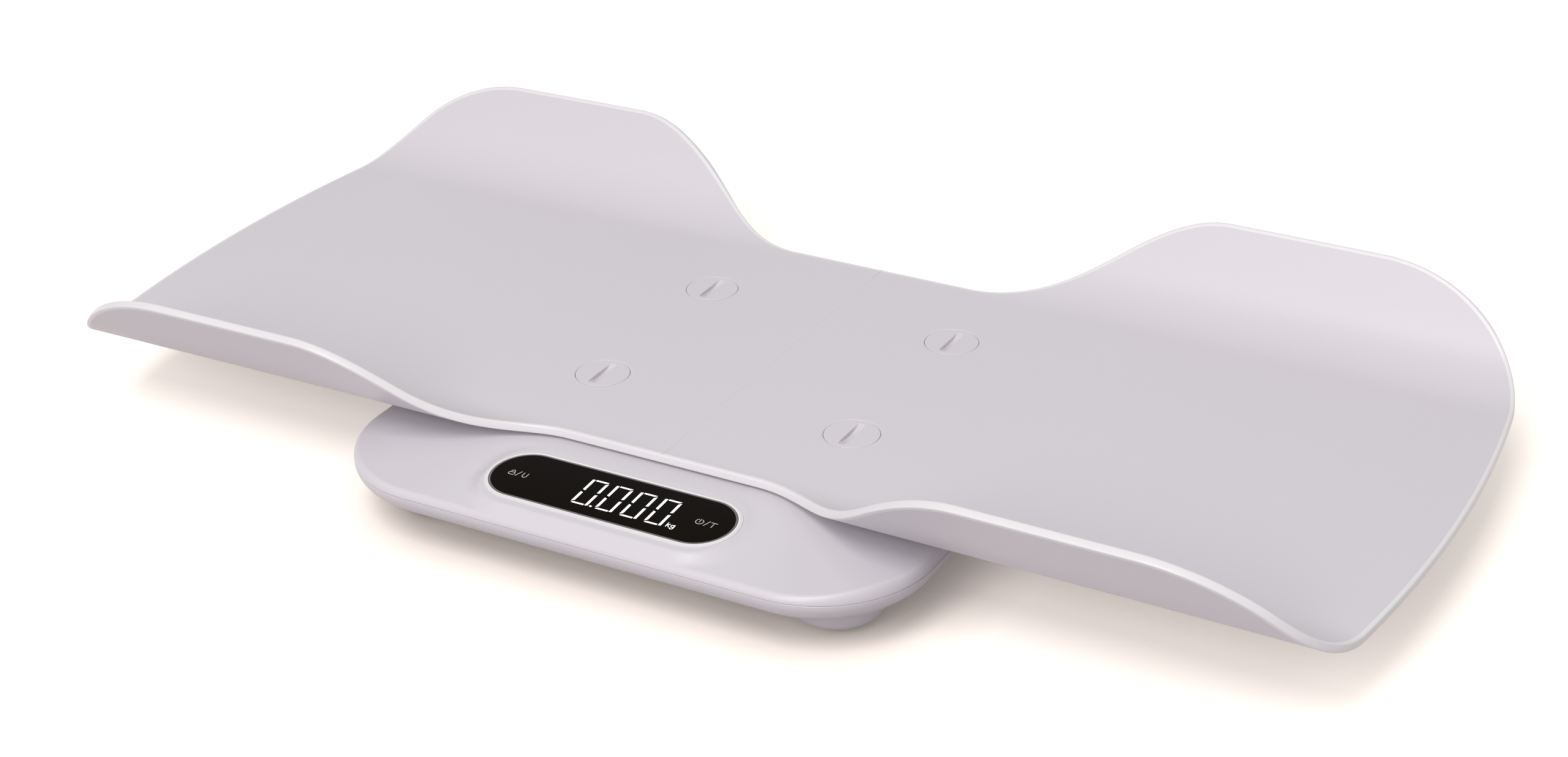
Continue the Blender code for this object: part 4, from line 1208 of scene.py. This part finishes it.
def moulded(name, colour, roughness, grain_scale, grain_depth, drift, metallic=0.0, gloss=usual_gloss):
    """Moulded plastic: a fine grain in its bump and roughness, and a slow drift of its colour.

    The roughness and the colour lie between their value less a spread and their value plus it, by a noise.
    """
    made, tree = new_finish(name)
    place = node(tree, "TexCoord", {}).outputs["Object"]
    fine = noise(tree, place, grain_scale, fine_detail)
    broad = noise(tree, place, broad_scale, broad_detail)
    low = roughness - grain_roughness_spread
    high = roughness + grain_roughness_spread
    ramp = node(tree, "MapRange", {"Value": fine, "To Min": low, "To Max": high}).outputs["Result"]
    dark = (*(np.array(colour) * (1 - drift)), 1.0)
    light = (*(np.array(colour) * (1 + drift)), 1.0)
    tone = node(tree, "Mix", {"Factor": broad, "A": dark, "B": light}, data_type="RGBA").outputs["Result"]
    bump = node(tree, "Bump", {"Height": fine, "Distance": grain_depth}).outputs["Normal"]
    surface = {"Base Color": tone, "Roughness": ramp, "Normal": bump}
    surface.update({"Metallic": metallic, "Specular IOR Level": gloss})
    fill(tree, tree.nodes["Principled BSDF"], surface)
    return made


def lit(name, colour, strength):
    """Lit numbers or printed symbols that glow through the lens."""
    made, tree = new_finish(name)
    colour = (*colour, 1.0)
    surface = {"Base Color": colour, "Roughness": lit_roughness, "Specular IOR Level": 0.0}
    surface.update({"Emission Color": colour, "Emission Strength": strength})
    fill(tree, tree.nodes["Principled BSDF"], surface)
    return made


def make_finishes():
    """Every finish of the scene's own pieces, by name."""
    made = {name: moulded(name, *row) for name, row in outer_finishes.items()}
    made.update({name: lit(name, *row) for name, row in lit_finishes.items()})
    return made


def dress_nodes():
    """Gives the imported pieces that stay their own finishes."""
    for name, (colour, roughness, metallic, starts) in inner_finishes.items():
        finish = moulded(name, colour, roughness, inner_grain_scale, inner_grain_depth, inner_drift, metallic)
        for packed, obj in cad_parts.items():
            if packed.startswith(starts) and not obj.hide_render:
                obj.data.materials.clear()
                obj.data.materials.append(finish)


# Floor, light and camera

def seen_rays(tree):
    """One for a camera, glossy or transmission ray, and zero for the rays that light things."""
    path = node(tree, "LightPath", {})
    seen = path.outputs["Is Camera Ray"]
    for kind in ("Is Glossy Ray", "Is Transmission Ray"):
        seen = node(tree, "Math", {0: seen, 1: path.outputs[kind]}, operation="MAXIMUM").outputs[0]
    return seen


def mixed(tree, share, first, second):
    """A mix of two shaders by a share, a number or a socket."""
    return node(tree, "MixShader", {0: share, 1: first, 2: second}).outputs[0]


def make_floor():
    """A white floor that keeps the object's shadow, and a painted shadow: its colour darkens softly by
    ambient occlusion where the base stands close over it.

    Away from the object it passes to plain white. It is clear from below, so that the underside can be seen.
    """
    half = floor_half
    mesh = bpy.data.meshes.new("studio_floor")
    corners = [(-half, -half, 0), (half, -half, 0), (half, half, 0), (-half, half, 0)]
    mesh.from_pydata(corners, [], [(0, 1, 2, 3)])
    made, tree = new_finish("white_floor")
    tree.nodes.clear()
    # Painted shadow: ambient occlusion darkens the floor's colour towards brown near the object, in its
    # diffuse sheets and in its glow alike
    near = node(tree, "AmbientOcclusion", {"Distance": painted_shadow_reach}, samples=painted_shadow_samples).outputs["AO"]
    painted_shadow_colour = node(tree, "Mix", {"Factor": near, "A": floor_painted_shadow, "B": floor_shown}, data_type="RGBA")
    painted_shadow_colour = painted_shadow_colour.outputs["Result"]
    sheet = node(tree, "BsdfDiffuse", {"Color": painted_shadow_colour}).outputs[0]
    shown = node(tree, "AddShader", {0: sheet, 1: sheet}).outputs[0]
    glow = node(tree, "Emission", {"Color": painted_shadow_colour, "Strength": floor_glow}).outputs[0]
    shown = mixed(tree, floor_glow_share, shown, glow)
    place = node(tree, "TexCoord", {}).outputs["Object"]
    away = node(tree, "VectorMath", {0: place}, operation="LENGTH").outputs["Value"]
    span = {"Value": away, "From Min": floor_plain_start, "From Max": floor_plain_end}
    far = node(tree, "MapRange", span, interpolation_type="SMOOTHSTEP").outputs["Result"]
    shown = mixed(tree, far, shown, node(tree, "Emission", {}).outputs[0])
    bounce = node(tree, "BsdfDiffuse", {"Color": floor_bounce}).outputs[0]
    above = mixed(tree, seen_rays(tree), bounce, shown)
    below = node(tree, "BsdfTransparent", {}).outputs[0]
    surface = mixed(tree, node(tree, "NewGeometry", {}).outputs["Backfacing"], above, below)
    node(tree, "OutputMaterial", {"Surface": surface})
    mesh.materials.append(made)
    placed("studio_floor", mesh)


def make_world():
    """Plain soft sky light, seen as white."""
    world = bpy.data.worlds.new("studio")
    bpy.context.scene.world = world
    world.use_nodes = True
    tree = world.node_tree
    tree.nodes.clear()
    sky = node(tree, "Background", {"Color": sky_colour, "Strength": sky_strength}).outputs[0]
    white = node(tree, "Background", {"Color": plain_white}).outputs[0]
    node(tree, "OutputWorld", {"Surface": mixed(tree, seen_rays(tree), sky, white)})


def facing(azimuth, pitch):
    """The direction from the object at an azimuth from the front and a pitch above the table."""
    level = math.cos(pitch)
    return np.array([math.sin(azimuth) * level, -math.cos(azimuth) * level, math.sin(pitch)])


def make_lights():
    """Square soft lamps that face the object: two in front, low and high, and a weak one behind."""
    for name, (azimuth, elevation, watts) in softboxes.items():
        lamp = bpy.data.lights.new(name, "AREA")
        lamp.shape = "SQUARE"
        lamp.size = lamp_size
        lamp.energy = watts
        lamp.color = lamp_colour
        holder = placed(name, lamp)
        back = facing(math.radians(azimuth), math.radians(elevation))
        holder.location = tuple(back * lamp_distance)
        holder.rotation_mode = "QUATERNION"
        holder.rotation_quaternion = Vector(-back).to_track_quat("-Z", "Y")


def make_camera():
    """The camera at the photograph's viewpoint: turned by an azimuth, a pitch and a small roll."""
    back = facing(camera_azimuth, camera_pitch)
    right = np.array([math.cos(camera_azimuth), math.sin(camera_azimuth), 0.0])
    up = np.cross(back, right)
    turn = np.eye(4)
    turn[:3, 0] = right * math.cos(camera_roll) + up * math.sin(camera_roll)
    turn[:3, 1] = up * math.cos(camera_roll) - right * math.sin(camera_roll)
    turn[:3, 2] = back
    turn[:3, 3] = camera_place
    data = bpy.data.cameras.new("photo_camera")
    data.sensor_width = camera_sensor
    data.lens = camera_lens
    camera = placed("photo_camera", data)
    camera.matrix_world = Matrix(turn.tolist())
    bpy.context.scene.camera = camera


def main():
    finish = make_finishes()
    for side in (-1, 1):
        make_tray(side, [finish["tray_plastic"], finish["tray_rim_painted_highlight"]])
    for place, (x, y) in knob_places.items():
        make_knob(place, x, y, finish["knob_plastic"])
    make_upper_shell(finish["base_plastic"])
    make_lower_shell(finish["base_plastic"])
    for place, (x, y) in foot_places.items():
        make_foot(place, x, y, finish["base_plastic"])
    rim = [finish["window_rim_plastic"], finish["window_flank_plastic"]]
    make_window(rim, finish["lens_border"], finish["black_lens"])
    make_numbers(finish["lit_white"])
    make_symbols(finish["printed_grey"])
    dress_nodes()
    make_floor()
    make_world()
    make_lights()
    make_camera()
    bpy.context.scene.view_settings.view_transform = "Standard"


main()
